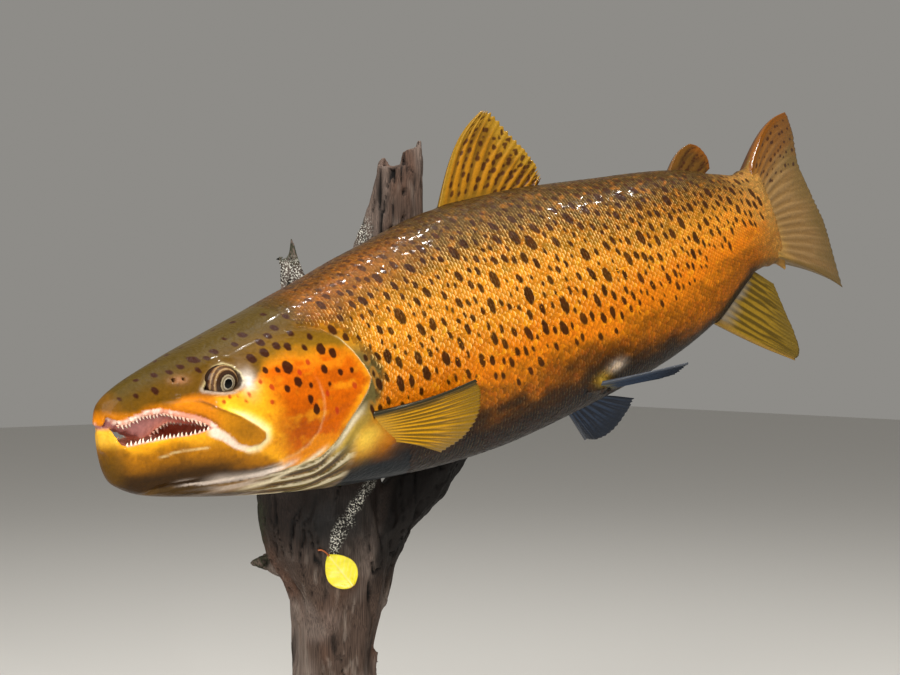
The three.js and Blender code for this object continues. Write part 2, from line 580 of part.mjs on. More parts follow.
/** A limb of level rings, each an ellipse with weathered lobes. */
function woodLimb(rows, sides) {
  const column = (index) => profile(rows.map((row) => [row[0], row[index]]));
  const [midU, halfU, midV, halfV] = [1, 2, 3, 4].map(column);
  const rings = stations(rows[0][0], rows.at(-1)[0], WOOD_RING_STEP).map((z) =>
    Array.from({ length: sides }, (_, j) => {
      const angle = (2 * Math.PI * j) / sides;
      const reach = weathering(angle, z);
      return woodPoint(midU(z) + halfU(z) * reach * Math.cos(angle),
        midV(z) + halfV(z) * reach * Math.sin(angle), z);
    }));
  return solidOf(loft(rings));
}

/** A short side spur, its rings set across the limb. */
function woodSpur(rows, sides) {
  const rings = rows.map(([z, u, tall, v, deep]) => Array.from({ length: sides }, (_, j) => {
    const angle = (2 * Math.PI * j) / sides;
    return woodPoint(u, v - deep * Math.cos(angle), z + tall * Math.sin(angle));
  }));
  return solidOf(loft(rings));
}

function driftwoodSolid() {
  const fish = solidOf(geometryOf(bodySolid(60, TRUNK_CUTS.at(-1)[2], BODY_STEP, FISH_CLEARANCE), place));
  const limbs = [woodLimb(WOOD_COLUMN, 16), woodLimb(WOOD_FORK, 10), woodLimb(WOOD_STUB, 8),
    woodLimb(WOOD_TINE_LEFT, 6), woodLimb(WOOD_TINE_RIGHT, 6), woodSpur(WOOD_SPUR, 6),
    woodLimb(WOOD_TWIG, 4)];
  return limbs.reduce((sum, limb) => sum.add(limb)).subtract(fish);
}

/** A cupped leaf with its stem, lying against the front of the driftwood. */
function leafSolid(wood) {
  const probe = new THREE.BoxGeometry(LEAF.width, 400, LEAF.length);
  probe.rotateZ(-WOOD_TURN);
  const middle = woodPoint(LEAF.u, 0, LEAF.z);
  probe.translate(middle.x, middle.y, middle.z);
  const touched = geometryOf(wood.intersect(solidOf(probe))).attributes.position;
  const away = new THREE.Vector2(Math.sin(WOOD_TURN), Math.cos(WOOD_TURN));
  let front = Infinity;
  for (let i = 0; i < touched.count; i++) {
    const [x, y] = [touched.getX(i) - WOOD_ORIGIN.x, touched.getY(i) - WOOD_ORIGIN.y];
    front = Math.min(front, x * away.x + y * away.y);
  }
  const shape = (s, t) => {
    const half = (LEAF.width / 2) * Math.sin(Math.PI * s ** 0.85) ** 0.75;
    const [x, z] = [half * t, LEAF.length * (s - 0.5)];
    return [x, LEAF.cup * (0.25 - (s - 0.5) ** 2) - LEAF.cup * 0.35 * t * t, z];
  };
  const [rows, columns] = [7, 4];
  const points = [];
  for (const face of [1, -1]) {
    for (let i = 0; i <= rows; i++) {
      for (let j = 0; j <= columns; j++) {
        const [x, y, z] = shape(0.03 + (0.94 * i) / rows, (2 * j) / columns - 1);
        points.push(new THREE.Vector3(x, y + (face * LEAF.thickness) / 2, z));
      }
    }
  }
  const index = (face, i, j) => (face > 0 ? 0 : 1) * (rows + 1) * (columns + 1) + i * (columns + 1) + j;
  const faces = [];
  const quad = (a, b, c, d) => faces.push(a, b, c, a, c, d);
  for (let i = 0; i < rows; i++) {
    for (let j = 0; j < columns; j++) {
      quad(index(1, i, j), index(1, i + 1, j), index(1, i + 1, j + 1), index(1, i, j + 1));
      quad(index(-1, i, j), index(-1, i, j + 1), index(-1, i + 1, j + 1), index(-1, i + 1, j));
    }
    quad(index(1, i, 0), index(-1, i, 0), index(-1, i + 1, 0), index(1, i + 1, 0));
    quad(index(1, i, columns), index(1, i + 1, columns), index(-1, i + 1, columns),
      index(-1, i, columns));
  }
  for (let j = 0; j < columns; j++) {
    quad(index(1, 0, j), index(1, 0, j + 1), index(-1, 0, j + 1), index(-1, 0, j));
    quad(index(1, rows, j), index(-1, rows, j), index(-1, rows, j + 1), index(1, rows, j + 1));
  }
  const blade = solidOf(geometryFrom(points, faces));
  const stem = new THREE.CylinderGeometry(LEAF_STEM.radius, LEAF_STEM.radius, LEAF_STEM.length, 6);
  stem.rotateX(Math.PI / 2);
  stem.translate(0, 0, LEAF.length / 2 + LEAF_STEM.length / 2 - 3);
  const whole = geometryOf(blade.add(solidOf(stem)));
  whole.rotateY(THREE.MathUtils.degToRad(-LEAF.tilt - 24));
  whole.rotateZ(-WOOD_TURN);
  const spot = woodPoint(LEAF.u, front - LEAF.cup * 0.25 - LEAF.thickness, LEAF.z);
  whole.translate(spot.x, spot.y, spot.z);
  return solidOf(whole);
}

function baseGeometry() {
  const { length, width, thickness, bevel, segments } = BASE;
  const inner = 1 - (2 * bevel) / length;
  const outline = [[0, 0], [inner, 0], [1, bevel * 0.5], [1, thickness - bevel], [inner, thickness],
    [0, thickness]].map(([r, z]) => new THREE.Vector2(r, z));
  const geometry = new THREE.LatheGeometry(outline, segments);
  geometry.rotateX(Math.PI / 2);
  geometry.scale(length / 2, width / 2, 1);
  return geometryOf(solidOf(geometry));
}

// ---------------------------------------------------------------- assembly
const mountedTrout = new THREE.Group();

function addMesh(name, geometry, finish) {
  const [color, roughness] = FINISHES[finish];
  const mesh = new THREE.Mesh(geometry, new THREE.MeshStandardMaterial({ color, roughness, metalness: 0 }));
  mesh.name = name;
  mountedTrout.add(mesh);
}

const fishPieces = { ...headPieces(), ...trunkPieces(), ...finPieces() };
for (const [name, [solid, finish]] of Object.entries(fishPieces)) {
  addMesh(name, geometryOf(solid, place), finish);
}
const driftwood = driftwoodSolid();
addMesh("driftwood", geometryOf(driftwood), "wood");
addMesh("leaf", geometryOf(leafSolid(driftwood)), "leaf");
addMesh("stand_base", baseGeometry(), "base");

export default mountedTrout;
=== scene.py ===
"""A large male brown trout, mounted on a driftwood post as a display piece.

The fish is drawn straight, in fish coordinates in millimetres: x runs from the snout to the tail, y to
the fish's right and z up.  Spine.place() then bends it into the frame, in metres.  The driftwood is
drawn in wood coordinates, also in millimetres: u across and v away, seen from the front of the mount.
"""
import logging
import math
from collections.abc import Callable, Sequence
from dataclasses import dataclass, field
from enum import Enum

import bmesh
import bpy
import numpy as np
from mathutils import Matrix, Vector


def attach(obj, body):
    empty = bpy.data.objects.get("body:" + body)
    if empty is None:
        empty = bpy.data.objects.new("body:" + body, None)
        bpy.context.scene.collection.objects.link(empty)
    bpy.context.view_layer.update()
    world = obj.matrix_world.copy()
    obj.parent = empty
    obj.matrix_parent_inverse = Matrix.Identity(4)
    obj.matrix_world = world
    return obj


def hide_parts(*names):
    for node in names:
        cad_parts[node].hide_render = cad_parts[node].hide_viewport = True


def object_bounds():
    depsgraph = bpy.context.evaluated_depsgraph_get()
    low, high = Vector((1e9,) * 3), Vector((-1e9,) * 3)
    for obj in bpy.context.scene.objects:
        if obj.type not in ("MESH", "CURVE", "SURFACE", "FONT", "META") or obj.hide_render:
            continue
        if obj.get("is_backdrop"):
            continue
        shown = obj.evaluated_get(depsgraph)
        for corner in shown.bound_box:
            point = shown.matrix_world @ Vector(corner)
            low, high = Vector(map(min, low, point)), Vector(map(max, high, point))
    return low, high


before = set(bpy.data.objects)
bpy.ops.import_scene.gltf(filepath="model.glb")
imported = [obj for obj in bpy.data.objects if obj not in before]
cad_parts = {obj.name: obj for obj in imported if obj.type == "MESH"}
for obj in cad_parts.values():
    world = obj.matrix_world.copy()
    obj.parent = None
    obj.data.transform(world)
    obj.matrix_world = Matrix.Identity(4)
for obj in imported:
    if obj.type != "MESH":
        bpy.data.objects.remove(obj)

LOG = logging.getLogger("mounted_trout")
MM = 0.001  # metres in a millimetre
BODY = "root"  # the one body that every piece rides on
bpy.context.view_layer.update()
NO_SPOT = 6.0  # a distance from a spot's rim, in millimetres, at which nothing of it shows

Array = np.ndarray
Faces = list[list[int]]
Form = Callable[..., Array]  # the signed distance at x, y, z
Point = tuple[float, float, float]
Pairs = tuple[tuple[float, float], ...]
Triples = tuple[Point, ...]


# ---- small helpers
def linear(code: str) -> Array:
    """Turn an sRGB hex colour into linear light.

    Args:
        code: The colour as "#rrggbb".

    Returns:
        Its red, green and blue in linear light.
    """
    channels = np.array([int(code[i:i + 2], 16) for i in (1, 3, 5)]) / 255
    return np.where(channels <= 0.04045, channels / 12.92, ((channels + 0.055) / 1.055) ** 2.4)


def rgba(code: str) -> tuple[float, ...]:
    """Give an sRGB hex colour as a shader socket's linear value."""
    return (*linear(code), 1.0)


def ease(low: float, high: float, value: Array) -> Array:
    """Rise smoothly from 0 at low to 1 at high, or fall where high is under low.

    Args:
        low: Where the step starts.
        high: Where it ends.
        value: The values to map.

    Returns:
        The eased values, from 0 to 1.
    """
    t = np.clip((value - low) / (high - low), 0, 1)
    return t * t * (3 - 2 * t)


def bump(distance: Array, width: float) -> Array:
    """Give a bell that is 1 at no distance and has died away at twice its width."""
    return np.exp(-((distance / width) ** 2))


def oval(x: Array, z: Array, middle: tuple[float, float], half: tuple[float, float]) -> Array:
    """Give a bell over an oval, 1 at its middle, from where that lies and the half sizes of the oval."""
    return bump(np.hypot((x - middle[0]) / half[0], (z - middle[1]) / half[1]), 1.0)


def round_angles(count: int) -> Array:
    """Give evenly spaced angles round a circle."""
    return np.arange(count) * 2 * np.pi / count


def cos_sin(degrees: float) -> tuple[float, float]:
    """Give the cosine and the sine of an angle."""
    return math.cos(math.radians(degrees)), math.sin(math.radians(degrees))


def soft_min(a: Array, b: Array, blend: float) -> Array:
    """Join two signed distances with a fillet.

    Args:
        a: The first distance.
        b: The second distance.
        blend: The fillet's size.

    Returns:
        The distance to the joined form.
    """
    h = np.clip(0.5 + 0.5 * (b - a) / blend, 0, 1)
    return b * (1 - h) + a * h - blend * h * (1 - h)


def soft_max(a: Array, b: Array, blend: float) -> Array:
    """Cut one signed distance by another with a rounded edge."""
    return -soft_min(-a, -b, blend)


def lattice_noise(points: Array, seed: int) -> Array:
    """Give smooth noise between -1 and 1 that changes over about one unit.

    Args:
        points: Places, one row each.
        seed: Chooses the pattern.

    Returns:
        One value for each place.
    """
    cell = np.floor(points).astype(np.int64)
    part = points - cell
    part = part * part * (3 - 2 * part)
    total = np.zeros(len(points))
    for corner in np.ndindex(2, 2, 2):
        at = cell + corner
        mixed = (at[:, 0] * 73856093) ^ (at[:, 1] * 19349663) ^ (at[:, 2] * 83492791) ^ (seed * 2654435761)
        mixed = ((mixed ^ (mixed >> 13)) * 1274126177) & 0xFFFFFFFF
        value = ((mixed ^ (mixed >> 16)) & 0xFFFF) / 32767.5 - 1
        total += value * np.prod(np.where(corner, part, 1 - part), axis=1)
    return total


def rough_noise(points: Array, seed: int, octaves: int = 3) -> Array:
    """Add finer and fainter layers of noise to a first one."""
    return sum(lattice_noise(points * 2**i, seed + i) / 2**i for i in range(octaves))


def catmull(corners: Triples, count: int) -> Array:
    """Draw a smooth curve through corner points, as the frame's fins and limbs do.

    Args:
        corners: The points that the curve passes through.
        count: How many points to give, evenly spaced in the curve's own parameter.

    Returns:
        The points, one row each.
    """
    p = np.array(corners, float)
    p = np.vstack([2 * p[0] - p[1], p, 2 * p[-1] - p[-2]])
    at = np.linspace(0, len(corners) - 1, count)
    i = np.minimum(at.astype(int), len(corners) - 2)
    t = at - i
    gaps = np.linalg.norm(np.diff(p, axis=0), axis=1) ** 0.5
    before, here, after = gaps[i, None], gaps[i + 1, None], gaps[i + 2, None]
    a, b, c, d = p[i], p[i + 1], p[i + 2], p[i + 3]
    leave = ((b - a) / before - (c - a) / (before + here) + (c - b) / here) * here
    reach = ((c - b) / here - (d - b) / (here + after) + (d - c) / after) * here
    t = t[:, None]
    h1, h3 = t * t * (3 - 2 * t), t * t * (t - 1)
    return (1 - h1) * b + t * (1 - t) ** 2 * leave + h1 * c + h3 * reach


def place_object(name: str, data: bpy.types.ID) -> bpy.types.Object:
    """Make an object at the origin and link it to the scene.

    Args:
        name: Its name.
        data: Its mesh, light or camera.

    Returns:
        The object.
    """
    made = bpy.data.objects.new(name, data)
    bpy.context.scene.collection.objects.link(made)
    return made


def build_mesh(name: str, points: Array, faces: Sequence[Sequence[int]]) -> bpy.types.Object:
    """Make a smooth-shaded object at the origin from points in metres.

    Args:
        name: The piece's name.
        points: Vertex places, one row each.
        faces: Vertex numbers of each face, anticlockwise from outside.

    Returns:
        The new object.
    """
    mesh = bpy.data.meshes.new(name)
    mesh.from_pydata(np.asarray(points, float).tolist(), [], [list(map(int, f)) for f in faces])
    mesh.polygons.foreach_set("use_smooth", [True] * len(mesh.polygons))
    mesh.update()
    return place_object(name, mesh)


def evaluated_mesh(piece: bpy.types.Object) -> bpy.types.Mesh:
    """Give a plain copy of a piece's mesh after its modifiers, and remove the piece.

    Args:
        piece: The piece, with its modifiers.

    Returns:
        The mesh.
    """
    depsgraph = bpy.context.evaluated_depsgraph_get()
    mesh = bpy.data.meshes.new_from_object(piece.evaluated_get(depsgraph), depsgraph=depsgraph)
    bpy.data.objects.remove(piece)
    mesh.polygons.foreach_set("use_smooth", [True] * len(mesh.polygons))
    return mesh


class Paint:
    """Linear colours of many places, laid on in coats."""

    def __init__(self, shape: tuple[int, ...], code: str) -> None:
        """Start with one even colour.

        Args:
            shape: How many places there are, in each direction.
            code: Their first colour, as sRGB hex.
        """
        self.colour = np.tile(linear(code), (*shape, 1))

    def lay(self, code: str, strength: Array) -> None:
        """Lay a colour over what is there.

        Args:
            code: The colour, as sRGB hex.
            strength: How much of it each place gets, from 0 to 1.
        """
        self.colour += (linear(code) - self.colour) * np.clip(strength, 0, 1)[..., None]


def put(mesh: bpy.types.Mesh, name: str, values: Array) -> None:
    """Store a value, or a colour, at each vertex for the materials to read.

    Args:
        mesh: The mesh that gets the attribute.
        name: The attribute's name.
        values: One number for each vertex, or one row of red, green and blue.
    """
    values = np.asarray(values, np.float32)
    if values.ndim == 1:
        mesh.attributes.new(name, "FLOAT", "POINT").data.foreach_set("value", values)
        return
    colour = np.ones((len(values), 4), np.float32)
    colour[:, :3] = np.clip(values, 0, 1)
    mesh.attributes.new(name, "FLOAT_COLOR", "POINT").data.foreach_set("color", colour.ravel())


def vertex_points(mesh: bpy.types.Mesh) -> Array:
    """Give a mesh's vertex places, one row each.

    Args:
        mesh: The mesh.

    Returns:
        Its places.
    """
    flat = np.empty(len(mesh.vertices) * 3)
    mesh.vertices.foreach_get("co", flat)
    return flat.reshape(-1, 3)


def sheet_faces(rows: int, columns: int, first: int = 0, closed: bool = False,
                capped: bool = False) -> Faces:
    """List the quads of a grid of vertices stored row by row.

    Args:
        rows: Rows of vertices.
        columns: Vertices in a row.
        first: The number of the grid's first vertex.
        closed: Whether each row joins up into a ring.
        capped: Whether the first and the last ring are filled.

    Returns:
        The faces.
    """
    across = columns if closed else columns - 1
    faces = [
        [first + r * columns + c, first + r * columns + (c + 1) % columns,
         first + (r + 1) * columns + (c + 1) % columns, first + (r + 1) * columns + c]
        for r in range(rows - 1) for c in range(across)
    ]
    if capped:
        faces += [list(range(columns))[::-1], list(range((rows - 1) * columns, rows * columns))]
    return faces


def sheet_rim(rows: int, columns: int) -> list[int]:
    """List the vertices round the edge of a grid, in order.

    Args:
        rows: The grid's rows.
        columns: Its columns.

    Returns:
        Their numbers.
    """
    return [*range(columns), *(r * columns + columns - 1 for r in range(1, rows)),
            *(rows * columns - 2 - c for c in range(columns - 1)),
            *(r * columns for r in range(rows - 2, 0, -1))]


def double_sheet(front: Array, back: Array) -> tuple[Array, Faces]:
    """Close two sheets of points into one thin solid.

    Args:
        front: The points of one face, by row, column and axis.
        back: Those of the other.

    Returns:
        The points, one row each, and the faces.
    """
    rows, columns, _ = front.shape
    count, rim = rows * columns, sheet_rim(rows, columns)
    faces = sheet_faces(rows, columns) + [face[::-1] for face in sheet_faces(rows, columns, count)]
    faces += [[b, a, a + count, b + count] for a, b in zip(rim, rim[1:] + rim[:1])]
    return np.concatenate([front.reshape(-1, 3), back.reshape(-1, 3)]), faces


def point_outwards(piece: bpy.types.Object, merge: bool = False) -> None:
    """Point all of a closed piece's faces outwards.

    Args:
        piece: The piece.
        merge: Whether its doubled vertices are merged first.
    """
    work = bmesh.new()
    work.from_mesh(piece.data)
    if merge:
        bmesh.ops.remove_doubles(work, verts=work.verts, dist=1e-6)
    bmesh.ops.recalc_face_normals(work, faces=work.faces)
    work.to_mesh(piece.data)
    work.free()


def add(tree: bpy.types.NodeTree, kind: str, links: dict | None = None,
        stops: Sequence[tuple[float, str]] = (),
        **settings: object) -> bpy.types.Node:
    """Add a node with its settings and links.

    Args:
        tree: The node tree.
        kind: The node's type name.
        links: For each input, by name or number, a value, the socket that feeds it, or the node
            whose first output does.
        stops: A colour ramp's stops from 0 to 1, each with its sRGB hex colour.
        **settings: The node's own properties.

    Returns:
        The node.
    """
    node = tree.nodes.new(kind)
    for name, value in settings.items():
        setattr(node, name, value)
    for at, _ in stops[1:-1]:
        node.color_ramp.elements.new(at)
    for (_, code), mark in zip(stops, node.color_ramp.elements if stops else ()):
        mark.color = rgba(code)
    for key, value in (links or {}).items():
        socket = node.inputs[key]
        if isinstance(value, bpy.types.Node):
            value = next(output for output in value.outputs if output.enabled)
        if isinstance(value, bpy.types.NodeSocket):
            tree.links.new(value, socket)
        else:
            socket.default_value = value
    return node


class Side(Enum):
    """The two sides of the fish, by the sign of y."""

    LEFT = -1
    RIGHT = 1

    @property
    def label(self) -> str:
        """The side's word in piece names."""
        return self.name.lower()


# ---- the fish's own lines
@dataclass(frozen=True)
class Profile:
    """A monotone cubic curve through (station, value) pairs, flat beyond its ends."""

    pairs: Pairs

    def __call__(self, x: Array) -> Array:
        """Read the curve.

        Args:
            x: Stations.

        Returns:
            The curve's value at each.
        """
        stations, values = np.array(self.pairs, float).T
        rise = np.diff(values) / np.diff(stations)
        same = rise[:-1] * rise[1:] > 0
        sums = np.where(same, rise[:-1] + rise[1:], 1)
        inner = np.where(same, 2 * rise[:-1] * rise[1:] / sums, 0)
        slopes = np.concatenate([rise[:1], inner, rise[-1:]])
        x = np.clip(x, stations[0], stations[-1])
        i = np.clip(np.searchsorted(stations, x, side="right") - 1, 0, len(rise) - 1)
        span = stations[i + 1] - stations[i]
        t = (x - stations[i]) / span
        bend = t * (1 - t) ** 2 * slopes[i] + t * t * (t - 1) * slopes[i + 1]
        return (1 + 2 * t) * (1 - t) ** 2 * values[i] + t * t * (3 - 2 * t) * values[i + 1] + span * bend


@dataclass(frozen=True)
class Straights:
    """Straight lines from one (station, value) pair to the next, flat beyond the ends."""

    pairs: Pairs

    def __call__(self, at: Array) -> Array:
        """Read the lines at stations."""
        return np.interp(at, *np.array(self.pairs, float).T)


@dataclass(frozen=True)
class Outline:
    """A line of side-view (x, z) points, closed into a loop where it bounds an area."""

    points: Pairs
    closed: bool = True

    def reach(self, x: Array, z: Array) -> Array:
        """Measure how far places are from the line.

        Args:
            x: Lengths along the fish.
            z: Heights, of the same shape.

        Returns:
            Their distance to the line, always positive.
        """
        corners = np.array(self.points, float)
        ends = np.roll(corners, -1, axis=0) if self.closed else corners[1:]
        nearest = np.full(np.shape(x), np.inf)
        for (ax, az), (bx, bz) in zip(corners, ends):
            dx, dz = bx - ax, bz - az
            t = np.clip(((x - ax) * dx + (z - az) * dz) / (dx * dx + dz * dz), 0, 1)
            nearest = np.minimum(nearest, np.hypot(x - ax - t * dx, z - az - t * dz))
        return nearest

    def __call__(self, x: Array, z: Array) -> Array:
        """Measure the signed distance to a closed line, negative inside it.

        Args:
            x: Lengths along the fish.
            z: Heights, of the same shape.

        Returns:
            The signed distances.
        """
        corners = np.array(self.points, float)
        inside = np.zeros(np.shape(x), bool)
        for (ax, az), (bx, bz) in zip(corners, np.roll(corners, -1, axis=0)):
            if az != bz:
                inside ^= ((az > z) != (bz > z)) & (x < (bx - ax) * (z - az) / (bz - az) + ax)
        return np.where(inside, -1.0, 1.0) * self.reach(x, z)


@dataclass(frozen=True)
class Spine:
    """The bend of the mount: straight as far as the shoulder, then turning and climbing to the tail."""

    straight_to: float = 190.0
    unit: float = 300.0
    yaw: tuple[float, float, float] = (9.84, -37.6, 20.12)  # degrees: constant, linear, square
    pitch: tuple[float, float, float] = (6.42, 22.29, -10.04)
    roll_at_unit: float = 4.81
    roll_per_unit: float = 4.85
    anchor_at: float = 120.0
    anchor: tuple[float, float, float] = (-195.8, -70.2, 395.1)
    start: float = -20.0
    end: float = 860.0
    step: float = 4.0

    def direction(self, x: Array) -> Array:
        """Give the spine's direction at lengths along it, one row each.

        Args:
            x: Lengths along the fish.

        Returns:
            Unit vectors.
        """
        t = np.maximum(0, np.asarray(x, float) - self.straight_to) / self.unit
        yaw, pitch = (np.radians(c + s * t + q * t * t) for c, s, q in (self.yaw, self.pitch))
        return np.stack([np.cos(pitch) * np.cos(yaw), np.cos(pitch) * np.sin(yaw), np.sin(pitch)], -1)

    def point(self, x: Array) -> Array:
        """Give points of the spine at lengths along it, one row each.

        Args:
            x: Lengths along the fish.

        Returns:
            The points in millimetres.
        """
        stations = np.arange(self.start, self.end + self.step, self.step)
        steps = self.direction(stations[:-1] + self.step / 2) * self.step
        line = np.vstack([np.zeros(3), np.cumsum(steps, axis=0)])
        read = [lambda at, k=k: np.interp(at, stations, line[:, k]) for k in range(3)]
        return np.stack([read[k](x) - read[k](self.anchor_at) + self.anchor[k] for k in range(3)], -1)

    def axes(self, x: Array) -> tuple[Array, Array, Array]:
        """Give the fish's own directions at lengths along the spine.

        Args:
            x: Lengths along the fish.

        Returns:
            Unit vectors along the body, to its right and up through its back, one row each.
        """
        along = self.direction(x)
        right = np.stack([-along[..., 1], along[..., 0], np.zeros_like(along[..., 0])], -1)
        right /= np.linalg.norm(right, axis=-1, keepdims=True)
        up = np.cross(along, right)
        roll = np.radians(self.roll_at_unit + self.roll_per_unit * (np.asarray(x) - self.unit) / self.unit)
        c, s = np.cos(roll)[..., None], np.sin(roll)[..., None]
        return along, right * c - up * s, up * c + right * s

    def place(self, points: Array) -> Array:
        """Bend points of the straight fish.

        Args:
            points: Fish coordinates in millimetres, one row each.

        Returns:
            Their places in the frame, in metres.
        """
        points = np.asarray(points, float)
        _, right, up = self.axes(points[:, 0])
        return (self.point(points[:, 0]) + right * points[:, 1:2] + up * points[:, 2:3]) * MM


@dataclass(frozen=True)
class BodyForm:
    """The body's smooth form, before its features."""

    back: Profile = Profile((
        (-2, -6), (4, 4.5), (20, 14), (48, 24.5), (92, 38), (140, 52.5), (184, 66), (260, 87), (358, 103),
        (410, 102), (540, 84), (612, 70), (660, 54), (690, 47), (715, 48)))
    belly: Profile = Profile((
        (-2, -34), (0, -41), (10, -53), (30, -63), (66, -71), (135, -82), (200, -89), (350, -99),
        (435, -95), (520, -88), (593, -74), (630, -58), (663, -45), (715, -41)))
    half_width: Profile = Profile((
        (-2, 3), (6, 12), (20, 18), (48, 25), (76, 38), (120, 47), (160, 52), (211, 56), (280, 58),
        (350, 57), (430, 52), (520, 42), (600, 30), (660, 20), (700, 14), (715, 11)))
    lift: float = 0.03  # the widest level is this share of the depth above the middle
    power: float = 0.95  # under 1 fills the section out beyond an ellipse
    snout: float = -2.0
    tail: float = 714.0

    def middle(self, x: Array) -> Array:
        """Give the height where the body is widest."""
        top, bottom = self.back(x), self.belly(x)
        return (top + bottom) / 2 + self.lift * (top - bottom)

    def level(self, x: Array, z: Array) -> Array:
        """Give heights as shares of the body: 1 on the back, 0 where it is widest, -1 on the belly."""
        middle = self.middle(x)
        return (z - middle) / np.where(z > middle, self.back(x) - middle, middle - self.belly(x))

    def ring(self, x: Array, angle: Array) -> tuple[Array, Array]:
        """Give the skin's y and z at angles round the body, from 0 at the fish's right side, up.

        Args:
            x: Lengths along the fish.
            angle: Angles in radians.

        Returns:
            The places across and the heights.
        """
        across, up = np.cos(angle), np.sin(angle)
        middle = self.middle(x)
        y = self.half_width(x) * np.sign(across) * np.abs(across) ** self.power
        under = middle - (middle - self.belly(x)) * np.abs(up) ** self.power
        return y, np.where(up > 0, middle + (self.back(x) - middle) * up, under)

    def flank(self, x: Array, z: Array) -> Array:
        """Give half the body's width at lengths and heights.

        Args:
            x: Lengths along the fish.
            z: Heights.

        Returns:
            The widths in millimetres.
        """
        level = self.level(x, z)
        up = np.where(level > 0, level, np.abs(level) ** (1 / self.power))
        return self.half_width(x) * np.clip(1 - up * up, 0, None) ** (self.power / 2)

    def norm(self, x: Array, y: Array, z: Array) -> Array:
        """Give how far out places are, as a share: 0 on the axis and 1 on the skin.

        Args:
            x: Lengths along the fish.
            y: Places across it.
            z: Heights.

        Returns:
            The shares.
        """
        level = self.level(x, z)
        upward = np.where(level > 0, level * level, np.abs(level) ** (2 / self.power))
        return np.sqrt((np.abs(y) / self.half_width(x)) ** (2 / self.power) + upward)

    def distance(self, x: Array, y: Array, z: Array) -> Array:
        """Measure the signed distance to the skin in millimetres, negative inside.

        Args:
            x: Lengths along the fish.
            y: Places across it; the three shapes broadcast.
            z: Heights.

        Returns:
            The distances, exact near the skin.
        """
        reach = 0.5
        slopes = [
            self.norm(x + reach * a, y + reach * b, z + reach * c)
            - self.norm(x - reach * a, y - reach * b, z - reach * c) for a, b, c in np.eye(3)
        ]
        steepness = np.sqrt(sum(s * s for s in slopes)) / (2 * reach)
        return (self.norm(x, y, z) - 1) / np.maximum(steepness, 1e-3)


@dataclass(frozen=True)
class Fish:
    """What every part of the fish is drawn from."""

    body: BodyForm = BodyForm()
    spine: Spine = Spine()


